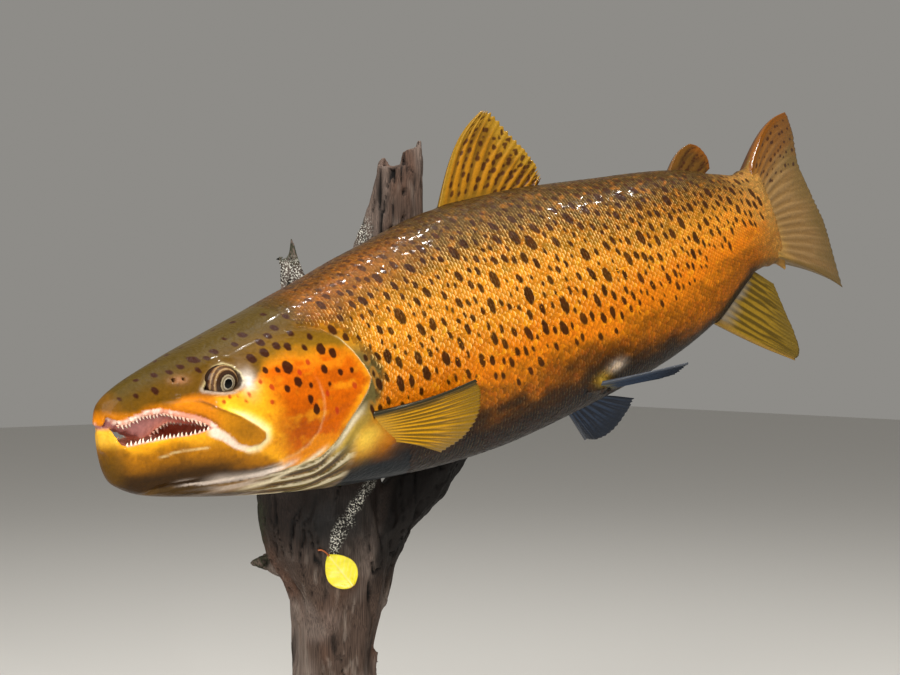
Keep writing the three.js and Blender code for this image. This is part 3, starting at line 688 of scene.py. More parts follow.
# ---- clay: a form on a grid
@dataclass
class Clay:
    """A form kept as signed distances on a grid over the fish's right half, as a sculptor's clay.

    x, y and z are the grid's stations; values holds the distances in millimetres, negative inside.
    """

    x: Array
    y: Array
    z: Array
    values: Array

    def block(self, low: Sequence[float], high: Sequence[float]) -> tuple[tuple[slice, ...], list[Array]]:
        """Find the part of the grid between two corners.

        Args:
            low: The lowest corner in fish coordinates.
            high: The highest one.

        Returns:
            The block's slices, and its stations shaped to broadcast.
        """
        axes = (self.x, self.y, self.z)
        spans = tuple(slice(*np.searchsorted(axis, ends)) for axis, ends in zip(axes, zip(low, high)))
        return spans, list(np.ix_(*(axis[span] for axis, span in zip(axes, spans))))

    def shape(self, low: Sequence[float], high: Sequence[float], form: Form, blend: float,
              cut: bool = False) -> None:
        """Press another form on with a fillet, or cut it out with a rounded edge.

        Args:
            low: The lowest corner of the block that changes.
            high: Its highest corner.
            form: Gives the form's signed distance at x, y, z.
            blend: The fillet's or the rounding's size.
            cut: Whether the form is cut out.
        """
        spans, places = self.block(low, high)
        held, other = self.values[spans], form(*places)
        self.values[spans] = soft_max(held, -other, blend) if cut else soft_min(held, other, blend)

    def mesh(self) -> tuple[Array, Array]:
        """Draw the surface of both halves.

        Returns:
            Vertices in fish coordinates and their quads.
        """
        values = np.concatenate([self.values[:, :0:-1], self.values], axis=1)
        axes = (self.x, np.concatenate([-self.y[:0:-1], self.y]), self.z)
        places, quads = self._nets(values)
        for _ in range(2):
            places = self._settle(values, axes, places)
        return self._points(axes, places), quads

    @staticmethod
    def _points(axes: Sequence[Array], places: Array) -> Array:
        """Turn grid places into fish coordinates."""
        return np.stack([np.interp(at, np.arange(len(axis)), axis) for at, axis in zip(places.T, axes)], 1)

    @staticmethod
    def _nets(values: Array) -> tuple[Array, Array]:
        """Put one vertex in each grid cell that the surface crosses and join neighbours by quads.

        Args:
            values: The distances of both halves.

        Returns:
            The vertices in grid steps, and the quads.
        """
        inside = values < 0
        n = values.shape
        parts = [inside[i:n[0] - 1 + i, j:n[1] - 1 + j, k:n[2] - 1 + k] for i, j, k in np.ndindex(2, 2, 2)]
        count = sum(part.astype(np.int8) for part in parts)
        active = (count > 0) & (count < 8)
        cells = np.argwhere(active)
        number = np.full(active.shape, -1)
        number[active] = np.arange(len(cells))
        total, hits = np.zeros((len(cells), 3)), np.zeros(len(cells))
        for axis in range(3):
            others = [k for k in range(3) if k != axis]
            for offset in np.ndindex(2, 2):
                start = cells.copy()
                start[:, others] += offset
                end = start.copy()
                end[:, axis] += 1
                near, far = values[tuple(start.T)], values[tuple(end.T)]
                crossed = (near < 0) != (far < 0)
                at = start.astype(float)
                at[:, axis] += near / np.where(crossed, near - far, 1)
                total[crossed] += at[crossed]
                hits += crossed
        quads = []
        for axis in range(3):
            u, v = (axis + 1) % 3, (axis + 2) % 3
            near = np.take(inside, range(n[axis] - 1), axis)
            far = np.take(inside, range(1, n[axis]), axis)
            edges = np.argwhere(near != far)
            cross = edges[:, [u, v]]
            edges = edges[np.all((cross > 0) & (cross < np.array(n)[[u, v]] - 1), axis=1)]
            ring = []
            for du, dv in ((0, 0), (-1, 0), (-1, -1), (0, -1)):
                cell = edges.copy()
                cell[:, u] += du
                cell[:, v] += dv
                ring.append(number[tuple(cell.T)])
            ring = np.stack(ring, 1)
            leaving = near[tuple(edges.T)]
            quads.append(np.where(leaving[:, None], ring, ring[:, ::-1]))
        return total / hits[:, None], np.vstack(quads)

    @staticmethod
    def read(values: Array, places: Array) -> Array:
        """Read the field between grid points.

        Args:
            values: The distances.
            places: Places in grid steps, one row each.

        Returns:
            The distance at each place.
        """
        low = np.clip(np.floor(places).astype(int), 0, np.array(values.shape) - 2)
        part = places - low
        total = np.zeros(len(places))
        for corner in np.ndindex(2, 2, 2):
            weight = np.prod(np.where(corner, part, 1 - part), axis=1)
            total += weight * values[tuple((low + corner).T)]
        return total

    def _settle(self, values: Array, axes: Sequence[Array], places: Array) -> Array:
        """Move vertices onto the surface along its slope.

        Args:
            values: The distances.
            axes: The grid's stations.
            places: The vertices in grid steps.

        Returns:
            Where they move to.
        """
        gaps = [np.interp(at, np.arange(len(axis)), np.gradient(axis)) for at, axis in zip(places.T, axes)]
        spacing, reach = np.stack(gaps, 1), 0.35
        slopes = np.stack([
            (self.read(values, places + step) - self.read(values, places - step)) / (2 * reach)
            for step in reach * np.eye(3)], 1) / spacing
        steep = np.maximum(np.sum(slopes**2, axis=1, keepdims=True), 0.05)
        move = -self.read(values, places)[:, None] * slopes / steep
        return places + np.clip(move / spacing, -0.4, 0.4)


# ---- the head's plan
COVER_LINE = (  # the gill cover's free edge, from the nape round to the throat
    (150, 37), (160, 35.5), (171, 32.5), (182, 26), (192, 13.5), (201, 1), (205.5, -8), (200, -17.5),
    (190, -27), (180, -38), (172, -49), (158, -58.5), (140, -61), (120, -63), (100, -64.5))


@dataclass(frozen=True)
class HeadPlan:
    """The side-view lines of the head that its form and its markings share, in fish coordinates."""

    upper_lip: Pairs = (
        (-8, -16.7), (0.6, -16.5), (2.6, -11), (4.2, -5.6), (8, -8), (15, -7.5), (28, -3.8), (38, -3.8),
        (51, -8.0), (60, -11.6), (67.5, -15.8), (73, -21.2))
    lower_lip: Pairs = (
        (-8, -17.7), (-0.4, -17.3), (1.2, -12.4), (5.4, -11.2), (7.2, -17.4), (10, -24.4), (14, -26.6),
        (24, -25.8), (42, -25.4), (55, -25.6), (64, -24.4), (73, -22.2))
    maxilla: Outline = Outline((
        (40, -1.2), (55, -1.4), (65, -2.4), (75, -9.2), (90, -17.6), (101, -25.4), (107.5, -31), (108, -36),
        (103, -39.5), (95, -40), (86, -36.4), (79, -29), (71, -20.6), (62, -13), (51, -8)))
    gill_edge: Outline = Outline(COVER_LINE, closed=False)
    head_side: Outline = Outline(COVER_LINE + ((60, -60), (60, 30)))
    cheek_crease: Outline = Outline((
        (140, 13), (149, 8), (155.5, -2), (158.5, -14), (158.5, -26), (154, -38), (146, -46), (136, -51.5),
        (122, -54)), closed=False)
    cover_crease: Outline = Outline(((158, -33), (170, -30.5), (184, -24), (197, -14)), closed=False)
    jaw_fold: Outline = Outline((
        (24, -66), (36, -59), (50, -57.5), (69, -60), (101, -61), (123, -58)), closed=False)
    jaw_crease: Outline = Outline(((34, -37), (50, -34.5), (66, -35.5)), closed=False)
    eye_opening: Outline = Outline((
        (68.5, 4.7), (71, 7.8), (75, 13), (80.5, 17.2), (86.5, 18.8), (91.5, 16.4), (95, 11.6), (95.4, 7),
        (92.6, 3.4), (87.5, 1.4), (81, 1.4), (74.5, 3)))
    nostrils: Triples = ((52.4, 12.9, 1.7), (58.4, 12.7, 1.25))
    gill_rays: int = 4
    ray_top: Profile = Profile((
        (40, -59), (69, -62), (101, -64), (125, -62), (145, -60.5), (158, -58), (170, -48), (180, -37),
        (190, -27)))
    ray_bottom: Profile = Profile(((40, -66), (66, -72), (100, -78), (135, -85), (160, -88), (190, -84)))

    def lip(self, upper: bool) -> Profile:
        """Give a lip's height along the mouth, without the points in front of the teeth."""
        return Profile(self.upper_lip[3:] if upper else self.lower_lip[5:])

    @property
    def gape(self) -> Outline:
        """The opening between the lips, in side view."""
        return Outline(self.upper_lip + self.lower_lip[::-1])


@dataclass
class TroutSkin:
    """The fish's one skin: skull, jaws, mouth, gill covers, trunk and fin roots without a seam."""

    fish: Fish = Fish()
    plan: HeadPlan = HeadPlan()
    head_end: float = 216.0
    head_step: float = 1.4
    trunk_step: float = 6.5
    tail_step: float = 3.0
    tail_from: float = 690.0
    cross_step: float = 1.45
    margin: float = 8.0
    mouth_from: float = 6.0
    mouth_to: float = 104.0
    lip_wall: float = 5.2
    mouth_middle: float = -18.0
    mouth_fall: float = 0.04
    roof_reach: float = 14.0
    floor_reach: float = 17.0
    palate_from: float = 3.5
    palate_to: float = 98.0
    palate: Profile = Profile((
        (3, -11), (10, -16), (20, -19.5), (31, -25), (40, -20.5), (52, -16), (73, -19.5), (99, -23)))
    socket_depth: float = 8.0
    nodes: tuple[str, ...] = (
        "head", "lower_jaw", "maxilla_left", "maxilla_right", "gill_cover_left", "gill_cover_right",
        "gill_membrane_left", "gill_membrane_right", "trunk_front", "trunk_middle", "trunk_rear",
        "tail_stalk")
    clay: Clay | None = None  # set by build(), for what lies on the skin

    def relief(self, x: Array, z: Array) -> Array:
        """Give how far the sides' features stand out of the smooth body.

        Args:
            x: Lengths along the fish.
            z: Heights, of the same shape.

        Returns:
            Heights of the relief in millimetres, negative in grooves.
        """
        plan = self.plan
        plate = plan.maxilla(x, z)
        height = 1.5 * ease(1.1, -1.3, plate) - 0.8 * bump(plate - 2.0, 1.3)
        height += 0.6 * bump(plate + 1.7, 1.1) * ease(70, 95, x)
        edge = plan.gill_edge.reach(x, z)
        covered = plan.head_side(x, z) < 0
        step = np.where(covered, 1.7 * np.exp(-edge / 12), -1.5 * np.exp(-edge / 4.5))
        height += step * ease(98, 125, x) * ease(0, 0.7, edge + 0.35)
        crease = plan.cheek_crease.reach(x, z)
        height += -0.45 * bump(crease, 1.4) + 0.25 * bump(crease - 2.6, 1.8)
        height -= 0.55 * bump(plan.cover_crease.reach(x, z), 1.3)
        fold = plan.jaw_fold.reach(x, z)
        height += -1.3 * bump(fold, 1.5) + 0.7 * bump(fold - 3.6, 2.4)
        height -= 0.4 * bump(plan.jaw_crease.reach(x, z), 1.0)
        opening = plan.eye_opening(x, z)
        height += 0.9 * bump(opening - 0.9, 1.1) - 0.5 * bump(opening - 4.2, 2.0)
        for across, up, radius in plan.nostrils:
            height += 0.9 * bump(np.hypot(x - across, z - up) - radius - 0.7, 0.9)
        height += 1.2 * oval(x, z, (118, -16), (24, 17))  # the cheek's muscle
        height += 0.8 * oval(x, z, (80, 23), (17, 4.5))  # brow over the eye
        height -= 0.7 * oval(x, z, (68, 0), (9, 4.5))  # hollow in front of the eye
        return height + self._gill_rays(x, z)

    def _gill_rays(self, x: Array, z: Array) -> Array:
        """Give the relief of the rays that stiffen the membrane under the gill cover.

        Args:
            x: Lengths along the fish.
            z: Heights.

        Returns:
            Heights of the relief in millimetres.
        """
        top, bottom = self.plan.ray_top(x), self.plan.ray_bottom(x)
        share = (top - z) / (top - bottom)
        waves = 0.5 - 0.5 * np.cos(2 * np.pi * self.plan.gill_rays * np.clip(share, 0, 1.5))
        here = ease(-0.04, 0.05, share) * ease(1.35, 1.1, share) * ease(92, 132, x) * ease(192, 178, x)
        return 1.5 * (waves**0.7 - 0.55) * here

    def _lateral_line(self, x: Array, z: Array) -> Array:
        """Give the shallow groove along the middle of the flank."""
        level = 10 - 0.012 * (x - 200)
        return -0.5 * bump(z - level, 1.5) * ease(206, 216, x)

    def _smooth_body(self, x: Array, y: Array, z: Array) -> Array:
        """Give the body with its two ends rounded off.

        Args:
            x: Lengths along the fish.
            y: Places across it.
            z: Heights.

        Returns:
            Its signed distances.
        """
        body = self.fish.body
        front = body.snout + 6.0 * ease(-9, -14, z) + 0.02 * np.maximum(0, -30 - z)
        return soft_max(soft_max(body.distance(x, y, z), front - x, 5.0), x - body.tail, 3.0)

    def _mouth(self, x: Array, y: Array, z: Array) -> Array:
        """Give the hollow of the mouth with the opening between the lips.

        Args:
            x: Lengths along the fish.
            y: Places across it.
            z: Heights.

        Returns:
            Its signed distances.
        """
        narrowing = np.sqrt(np.clip((self.mouth_to + 4 - x) / 30, 0.01, 1))
        half = np.maximum(2, (self.fish.body.half_width(x) - self.lip_wall) * narrowing)
        up = z - self.mouth_middle + self.mouth_fall * x
        reach = np.where(up > 0, self.roof_reach, self.floor_reach) * ease(2, 18, x)**0.3
        share = np.sqrt((y / half) ** 2 + (up / np.maximum(reach, 1)) ** 2) - 1
        hollow = soft_max(share * np.minimum(half, reach), self.mouth_from - x, 3.0)
        hollow = soft_max(hollow, x - self.mouth_to, 3.0)
        side_x, side_z = np.broadcast_arrays(x[:, 0, :], z[:, 0, :])
        return soft_min(hollow, self.plan.gape(side_x, side_z)[:, None, :] - 0.35, 1.5)

    def _palate_pad(self, x: Array, y: Array, z: Array) -> Array:
        """Give the soft pad that hangs from the roof of the mouth, with its folds.

        Args:
            x: Lengths along the fish.
            y: Places across it.
            z: Heights.

        Returns:
            Its signed distances.
        """
        top, bottom = 2.0, self.palate(x)
        half = np.maximum(2.5, self.fish.body.half_width(x) - 7.5 - 0.06 * x)
        middle, tall = (top + bottom) / 2, (top - bottom) / 2
        share = np.sqrt((y / half) ** 2 + ((z - middle) / tall) ** 2) - 1
        folds = 0.5 * np.sin(x * 0.9) * ease(60, 20, x) - 1.2 * bump(y, 2.5) + 1.8 * bump(y - 8.5, 2.4)
        pad = soft_max(share * np.minimum(half, tall) - folds, self.palate_from - x, 3.0)
        return soft_max(pad, x - self.palate_to, 3.0)

    def gum(self, upper: bool, x: Array) -> tuple[Array, Array]:
        """Give where a row of teeth is rooted.

        Args:
            upper: Whether the row is the upper jaw's.
            x: Lengths along the fish.

        Returns:
            The row's distance out from the middle plane and its height.
        """
        inset = 2.8 if upper else 3.0
        level = self.plan.lip(upper)(x)
        return np.maximum(2.4, self.fish.body.flank(x, level) - inset), level

    def _gums(self, upper: bool) -> Form:
        """Give the soft ridge of gum inside a lip.

        Args:
            upper: Whether it is the upper jaw's.

        Returns:
            Gives its signed distance.
        """
        drop, radius = (1.9, 2.2) if upper else (1.2, 1.9)

        def form(x: Array, y: Array, z: Array) -> Array:
            """Give the signed distance to the ridge.

            Args:
                x: Lengths along the fish.
                y: Places across it.
                z: Heights.

            Returns:
                The distances.
            """
            out, level = self.gum(upper, x)
            ripple = 0.4 * np.sin(2.1 * x) + 0.3 * np.sin(1.3 * x + 1)
            ridge = np.hypot(y - out, z - level + drop) - radius - ripple
            return soft_max(ridge, np.abs(x - 42) - 32, 2.0)

        return form

    def _socket(self, x: Array, y: Array, z: Array) -> Array:
        """Give the eye's socket: its opening cut in to a depth.

        Args:
            x: Lengths along the fish.
            y: Places across it.
            z: Heights.

        Returns:
            Its signed distances.
        """
        side_x, side_z = np.broadcast_arrays(x[:, 0, :], z[:, 0, :])
        opening = self.plan.eye_opening(side_x, side_z)[:, None, :]
        return soft_max(opening, self.fish.body.flank(x, z) - self.socket_depth - y, 2.0)

    @staticmethod
    def _fin_root(start: Sequence[float], end: Sequence[float], radius: float) -> Form:
        """Give the fleshy ridge that a fin grows from, as a round bar between two points.

        Args:
            start: The bar's first end.
            end: Its other end.
            radius: Its radius.

        Returns:
            Gives its signed distance.
        """
        a, b = np.array(start, float), np.array(end, float)
        way = b - a

        def form(x: Array, y: Array, z: Array) -> Array:
            """Give the signed distance to the bar.

            Args:
                x: Lengths along the fish.
                y: Places across it.
                z: Heights.

            Returns:
                The distances.
            """
            off = [place - corner for place, corner in zip((x, y, z), a)]
            t = np.clip(sum(o * w for o, w in zip(off, way)) / (way @ way), 0, 1)
            return np.sqrt(sum((o - t * w) ** 2 for o, w in zip(off, way))) - radius

        return form

    def _tail_root(self, x: Array, y: Array, z: Array) -> Array:
        """Give the scaled wedge that runs out over the root of the tail fin.

        Args:
            x: Lengths along the fish.
            y: Places across it.
            z: Heights.

        Returns:
            Its signed distances.
        """
        spread = 1 + 0.35 * ease(700, 728, x)
        tall = np.where(z > 3, 45 * spread, 46 * spread)
        thick = 9.5 * ease(736, 700, x) + 1.2
        share = np.sqrt((y / thick) ** 2 + ((z - 3) / tall) ** 2) - 1
        return soft_max(soft_max(share * thick, x - 724 - 5 * np.cos(z / 14), 2.0), 690 - x, 4.0)

    def _clay(self) -> Clay:
        """Build up the whole form on its grid.

        Returns:
            The clay.
        """
        low, high = -4.0, 738.0
        stations = np.concatenate([
            np.arange(low, self.head_end, self.head_step),
            np.arange(self.head_end + self.trunk_step / 2, self.tail_from, self.trunk_step),
            np.arange(self.tail_from, high, self.tail_step)])
        across = np.arange(0, self.fish.body.half_width(np.array(280.0)) + self.margin, self.cross_step)
        tall = np.arange(-104, 112, self.cross_step)
        clay = Clay(stations, across, tall, np.empty((len(stations), len(across), len(tall))))
        spans, (x, y, z) = clay.block((-99, -99, -999), (999, 999, 999))
        clay.values[spans] = self._smooth_body(x, y, z)
        side_x, side_z = np.meshgrid(clay.x, clay.z, indexing="ij")
        relief = np.where(side_x < 216, self.relief(side_x, side_z), 0) + self._lateral_line(side_x, side_z)
        turned = ease(0.12, 0.5, y / self.fish.body.half_width(x))
        clay.values -= relief[:, None, :] * turned
        self._open_mouth(clay)
        self._add_roots(clay)
        return clay

    def _open_mouth(self, clay: Clay) -> None:
        """Cut the mouth, sockets and nostrils, and put in the soft parts of the mouth.

        Args:
            clay: The form on its grid.
        """
        clay.shape((-9, -1, -60), (114, 60, 12), self._mouth, 1.8, cut=True)
        clay.shape((2, -1, -40), (106, 45, 8), self._palate_pad, 2.5)
        clay.shape((4, -1, -30), (80, 45, 4), self._gums(True), 1.6)
        clay.shape((4, -1, -40), (80, 45, -10), self._gums(False), 1.2)
        clay.shape((-4, -1, -30), (16, 9, -8), self._fin_root((4.5, 0, -26), (4.0, 0, -15.4), 3.6), 3.0)
        clay.shape((60, 8, -6), (104, 60, 26), self._socket, 1.5, cut=True)
        for across, up, radius in self.plan.nostrils:
            out = float(self.fish.body.flank(np.array(across), np.array(up)))
            pit = self._fin_root((across, out + 2, up + 0.8), (across + 1, out - 5, up - 0.6), radius)
            clay.shape((across - 8, 2, up - 9), (across + 8, 40, up + 9), pit, 0.8, cut=True)

    def _add_roots(self, clay: Clay) -> None:
        """Raise the flesh round the roots of the fins.

        Args:
            clay: The form on its grid.
        """
        roots = (
            ((366, 0, 99), (456, 0, 92), 4.2, 6.0), ((612, 0, 65), (640, 0, 57), 3.4, 4.0),
            ((604, 0, -69), (660, 0, -44), 4.2, 6.0), ((200, 50, -36), (227, 42, -58), 5.6, 6.0),
            ((437, 30, -78), (450, 23, -84), 4.8, 5.0))
        for start, end, radius, blend in roots:
            low = [min(a, b) - 25 for a, b in zip(start, end)]
            high = [max(a, b) + 25 for a, b in zip(start, end)]
            clay.shape(low, high, self._fin_root(start, end, radius), blend)
        clay.shape((680, -1, -75), (740, 30, 80), self._tail_root, 4.0)

    def build(self, markings: "Markings", finish: "VarnishedSkin") -> bpy.types.Object:
        """Make the skin and dress it.

        Args:
            markings: Colours the skin.
            finish: The skin's material.

        Returns:
            The finished piece.
        """
        self.clay = self._clay()
        points, quads = self.clay.mesh()
        piece = build_mesh("trout_skin", self.fish.spine.place(points), quads)
        markings.paint(piece.data, points)
        return dress(piece, finish.material(), "fish_skin_head", *self.nodes)


def dress(piece: bpy.types.Object, finish: bpy.types.Material | None, slot: str,
          *nodes: str) -> bpy.types.Object:
    """Give a built piece its finish and its place in the frame.

    Args:
        piece: The piece, at the origin.
        finish: Its material, where it has none yet.
        slot: Not used.
        *nodes: The CAD nodes that it stands for.

    Returns:
        The same piece.
    """
    if finish:
        piece.data.materials.append(finish)
    if nodes:
        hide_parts(*nodes)
    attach(piece, BODY)
    LOG.info("%s: %d faces", piece.name, len(piece.data.polygons))
    return piece


# ---- markings
class Tone(str, Enum):
    """The colours that the fish is painted with, as sRGB hex values."""

    BACK = "#453108"
    UPPER = "#5f4208"
    FLANK = "#d8961f"
    ORANGE = "#e38a0c"
    OCHRE = "#ac6204"
    # The smoke and belly tones, and the breast tone further down, are partly the dark belly of a spawning
    # male and partly painted shade under the body.
    SMOKE = "#221b07"
    BELLY = "#0a1118"
    STALK = "#b0823e"
    HEAD_OLIVE = "#634306"
    CROWN = "#4c3b10"
    LIP_ORANGE = "#d27a08"
    CHEEK_YELLOW = "#f5a91a"
    COVER_ORANGE = "#cc5e00"
    COVER_OLIVE = "#85600f"
    COVER_RUST = "#a04600"
    BRIGHT_YELLOW = "#ffd733"
    RIM_CREAM = "#fff0b4"
    PLATE_OCHRE = "#b8750f"
    FOLD_WHITE = "#fbeadb"
    JAW_GOLD = "#a86a06"
    # The jaw brown is partly brown skin and streaks and partly painted shade under the jaw, the chin and
    # the maxilla's edge.
    JAW_BROWN = "#231606"
    KYPE_YELLOW = "#f0bd3c"
    THROAT = "#8f6a34"
    FOLD_LILAC = "#dccbbd"
    RAY_CREAM = "#efe0bd"
    RAY_OLIVE = "#2b2d2c"
    GIRDLE = "#625730"
    GIRDLE_YELLOW = "#f2c648"
    BREAST = "#171d22"
    # The eye's pale tone is the lower lid's own colour and, behind the eye, a painted reflection.
    EYE_SILVER = "#e9ddd0"
    NOSTRIL_PINK = "#b07a58"
    GUM_PINK = "#e79f86"
    # The mouth's tones carry painted light and shade: the floor, rose and gullet tones are paler than the
    # flesh to stand in for light in the shaded mouth, and the mauve is painted shade on its roof.
    PALATE_MAUVE = "#a8706c"
    PALATE_ROSE = "#ffa892"
    GULLET_RED = "#ff9876"
    MOUTH_FLOOR = "#f0a68e"
    LID_DARK = "#2c1d10"


@dataclass(frozen=True)
class Spot:
    """One dark or red spot on a side of the fish.

    along and up are its place on the unrolled flank, long and wide its half sizes, all in millimetres.
    """

    along: float
    up: float
    long: float
    wide: float
    lean: float = 0.2
    fade: float = 0.0


@dataclass
class Markings:
    """The colours and spots of the fish, read by skin and scales alike."""

    fish: Fish = Fish()
    plan: HeadPlan = HeadPlan()
    seed: int = 11
    spot_gap: float = 2.4  # clear skin between two spots
    spot_length: float = 4.2  # half of a usual spot's length
    spots_along: tuple[float, float] = (176, 694)
    spots_level: tuple[float, float] = (-0.46, 0.97)  # from the belly at -1 to the back at 1
    lowest_spot: Straights = Straights((
        (180, -0.44), (260, -0.40), (420, -0.36), (560, -0.32), (700, -0.12)))
    tries: int = 11000
    head_spots: Triples = (  # length, height, half size
        (70.5, 24.7, 3.6), (79, 24.4, 2.2), (60.5, 21.2, 2.2), (52.5, 18.8, 2.0), (42.5, 18, 2.1),
        (69.5, 17.8, 1.9), (38, 8.1, 2.4), (24.5, 6.4, 1.8), (14, 5.8, 1.4), (87, 28.2, 2.7),
        (113.5, 37, 3.0), (103.5, 31.4, 2.2), (100.5, 35.8, 1.7), (108.5, 20.6, 3.4), (119.5, 23, 3.2),
        (115, 11.1, 2.1), (124.5, 10, 2.0), (132.5, 10.8, 4.0), (128, -4, 2.3), (130.5, 26.5, 2.9),
        (138.5, 24.8, 2.9), (145, 33.1, 2.4), (129, 34, 2.8), (137.5, 39.1, 2.7), (121, 30.4, 3.0),
        (138, -0.6, 3.1), (151, 22.2, 2.0), (158.5, 28.9, 2.3), (164, 19.6, 3.5), (172.5, 15.4, 3.1),
        (162.5, 5.1, 2.7), (176, 0.9, 2.2), (186, 0.7, 1.9), (151, -22, 2.8), (146.5, -14.1, 2.3),
        (148.5, -4.4, 1.8), (165, -6.1, 1.5), (52, 27, 1.8), (62, 30, 2.0), (75, 33, 2.2), (92, 38, 2.4),
        (30, 16, 1.6), (105, 43, 2.3), (120, 46, 2.5), (152, 46, 2.5), (140, 49, 2.2))
    red_spots: Triples = (
        (108.5, 4.3, 1.6), (116, -1.2, 2.0), (114, -11.1, 1.4), (94.5, -7.7, 1.2), (84, -2.6, 1.1),
        (89.5, -3.1, 1.0), (98, -3.6, 1.3), (79, -5.3, 1.2), (187, -10.6, 1.9), (169.5, -25.7, 1.8),
        (162, -12, 1.6), (141, 6, 1.7), (150, 12, 1.8))
    warm_line: Profile = Profile((
        (-2, -4), (12, -5), (30, -1.5), (62, 0), (84, -2), (96, 1), (107, 7), (121, 13), (150, 15),
        (175, 13), (215, 4)))
    # heights along the fish: the cheek over the jaw's corner, the lower jaw's skin, the fold at that
    # corner, and the two pale folds that run under the gill cover like ropes
    cheek_low: Straights = Straights(((60, -5), (75, -15), (90, -25), (101, -31), (110, -36)))
    jaw_top: Straights = Straights((
        (0, -12), (15, -25), (48, -23), (72, -21), (90, -37), (108, -46), (124, -54)))
    jaw_low: Straights = Straights((
        (2, -46), (14, -54), (24, -57), (36, -57.5), (50, -57.5), (69, -60), (101, -61), (123, -58)))
    corner_top: Straights = Straights(((66, -22), (70, -21.3), (84.5, -31.6), (95, -38.4), (106, -41)))
    corner_low: Straights = Straights((
        (62, -25), (66.5, -27), (75, -31.5), (84.5, -38.5), (95, -43), (106, -43.5)))
    upper_rope: Straights = Straights((
        (74, -58.5), (93, -60.5), (112, -61), (124, -59.5), (136, -56.4), (150, -51)))
    lower_rope: Straights = Straights(((98, -71), (120, -69.8), (134, -64.5), (148, -58.5), (163, -51)))
    _spots: dict[Side, list[Spot]] = field(default_factory=dict, repr=False)
    _reds: dict[Side, list[Spot]] = field(default_factory=dict, repr=False)

    def unroll(self, points: Array) -> tuple[Array, Array]:
        """Give places on the unrolled flank.

        Args:
            points: Fish coordinates, one row each.

        Returns:
            How far up round the body each is from its widest level, in millimetres, and its level
            as a share from -1 on the belly to 1 on the back.
        """
        x, y, z = points.T
        body = self.fish.body
        level = body.level(x, z)
        angle = np.arctan2(level, np.abs(y) / body.half_width(x))
        radius = (body.half_width(x) + (body.back(x) - body.belly(x)) / 2) / 2
        return angle * radius, angle / (np.pi / 2)

    def _scatter(self, side: Side) -> list[Spot]:
        """Scatter the dark spots of one flank, thick on the back and thinning out downwards.

        Args:
            side: The flank.

        Returns:
            Its spots.
        """
        rng = np.random.default_rng(self.seed + side.value)
        body = self.fish.body
        kept: list[Spot] = []
        taken = np.empty((0, 3))
        for _ in range(self.tries):
            along, turn = rng.uniform(*self.spots_along), rng.uniform(*self.spots_level)
            growth, roll = rng.gamma(9, 1 / 9), rng.random()
            at, level = np.array(along), np.array(turn)
            radius = body.half_width(at) * 0.5 + (body.back(at) - body.belly(at)) * 0.25
            up = float(turn * np.pi / 2 * radius)
            lowest = float(self.lowest_spot(along))
            on_head = self.plan.head_side(at[None], np.array([up]))[0] < 6
            if on_head or (along < 235 and up < -26) or roll > ease(lowest, lowest + 0.34, level):
                continue
            back, low = float(ease(0.45, 0.8, level)), float(ease(0.1, -0.3, level))
            small = (1 - 0.26 * back - 0.3 * low) * (1 - 0.3 * float(ease(450, 620, at)))
            long = self.spot_length * small * float(np.clip(growth, 0.5, 1.55))
            wide = long * rng.uniform(0.62, 0.82)
            room = (long + wide) / 2
            free = np.hypot(taken[:, 0] - along, 0.9 * (taken[:, 1] - up)) - taken[:, 2] - room
            gap = self.spot_gap * (1 - 0.4 * back) * (1 - 0.35 * float(ease(420, 560, at)))
            if len(taken) and free.min() < gap:
                continue
            taken = np.vstack([taken, (along, up, room)])
            kept.append(Spot(along, up, long, wide, rng.normal(0.24, 0.1), 0.4 * back + 0.1 * rng.random()))
        return kept

    def _on_head(self, side: Side, spots: Sequence[tuple[float, float, float]]) -> list[Spot]:
        """Turn head spots given by length and height into places on the unrolled flank.

        Args:
            side: The side that they are on.
            spots: Length, height and half size of each.

        Returns:
            The spots.
        """
        rng = np.random.default_rng(self.seed + 7)
        body = self.fish.body
        made = []
        for along, height, size in spots:
            if side is Side.RIGHT:
                along, height = along + rng.uniform(-3, 3), height + rng.uniform(-3, 3)
            x, z = np.array([along]), np.array([height])
            up, _ = self.unroll(np.stack([x, body.flank(x, z), z], 1))
            made.append(Spot(along, float(up[0]), size * 1.2, size * 1.02, 0.16))
        return made

    def nearest(self, points: Array, spots: dict[Side, list[Spot]]) -> tuple[Array, Array]:
        """Measure the distance to the nearest spot's rim.

        Args:
            points: Fish coordinates, one row each.
            spots: The spots of each side.

        Returns:
            The signed distances in millimetres, negative inside a spot, and how faded that spot is.
        """
        up, _ = self.unroll(points)
        order = np.argsort(points[:, 0])
        x, up, y = points[order, 0], up[order], points[order, 1]
        ragged = 0.65 * rough_noise(np.stack([x, up, np.sign(y) * 9], 1) / 2.1, self.seed, 2)
        found, fade = np.full(len(x), NO_SPOT), np.zeros(len(x))
        for side, marks in spots.items():
            for spot in marks:
                reach = 2 * max(spot.long, spot.wide) + 4
                a, b = np.searchsorted(x, (spot.along - reach, spot.along + reach))
                du, dv = x[a:b] - spot.along, up[a:b] - spot.up
                turned = du + spot.lean * dv
                share = np.hypot(turned / spot.wide, dv / spot.long)
                gap = (share - 1) * (spot.long + spot.wide) / 2
                gap = np.where(y[a:b] * side.value > 0, gap, NO_SPOT)
                closer = gap < found[a:b]
                found[a:b] = np.where(closer, gap, found[a:b])
                fade[a:b] = np.where(closer, spot.fade, fade[a:b])
        back = np.empty_like(order)
        back[order] = np.arange(len(order))
        return (found + ragged)[back], fade[back]

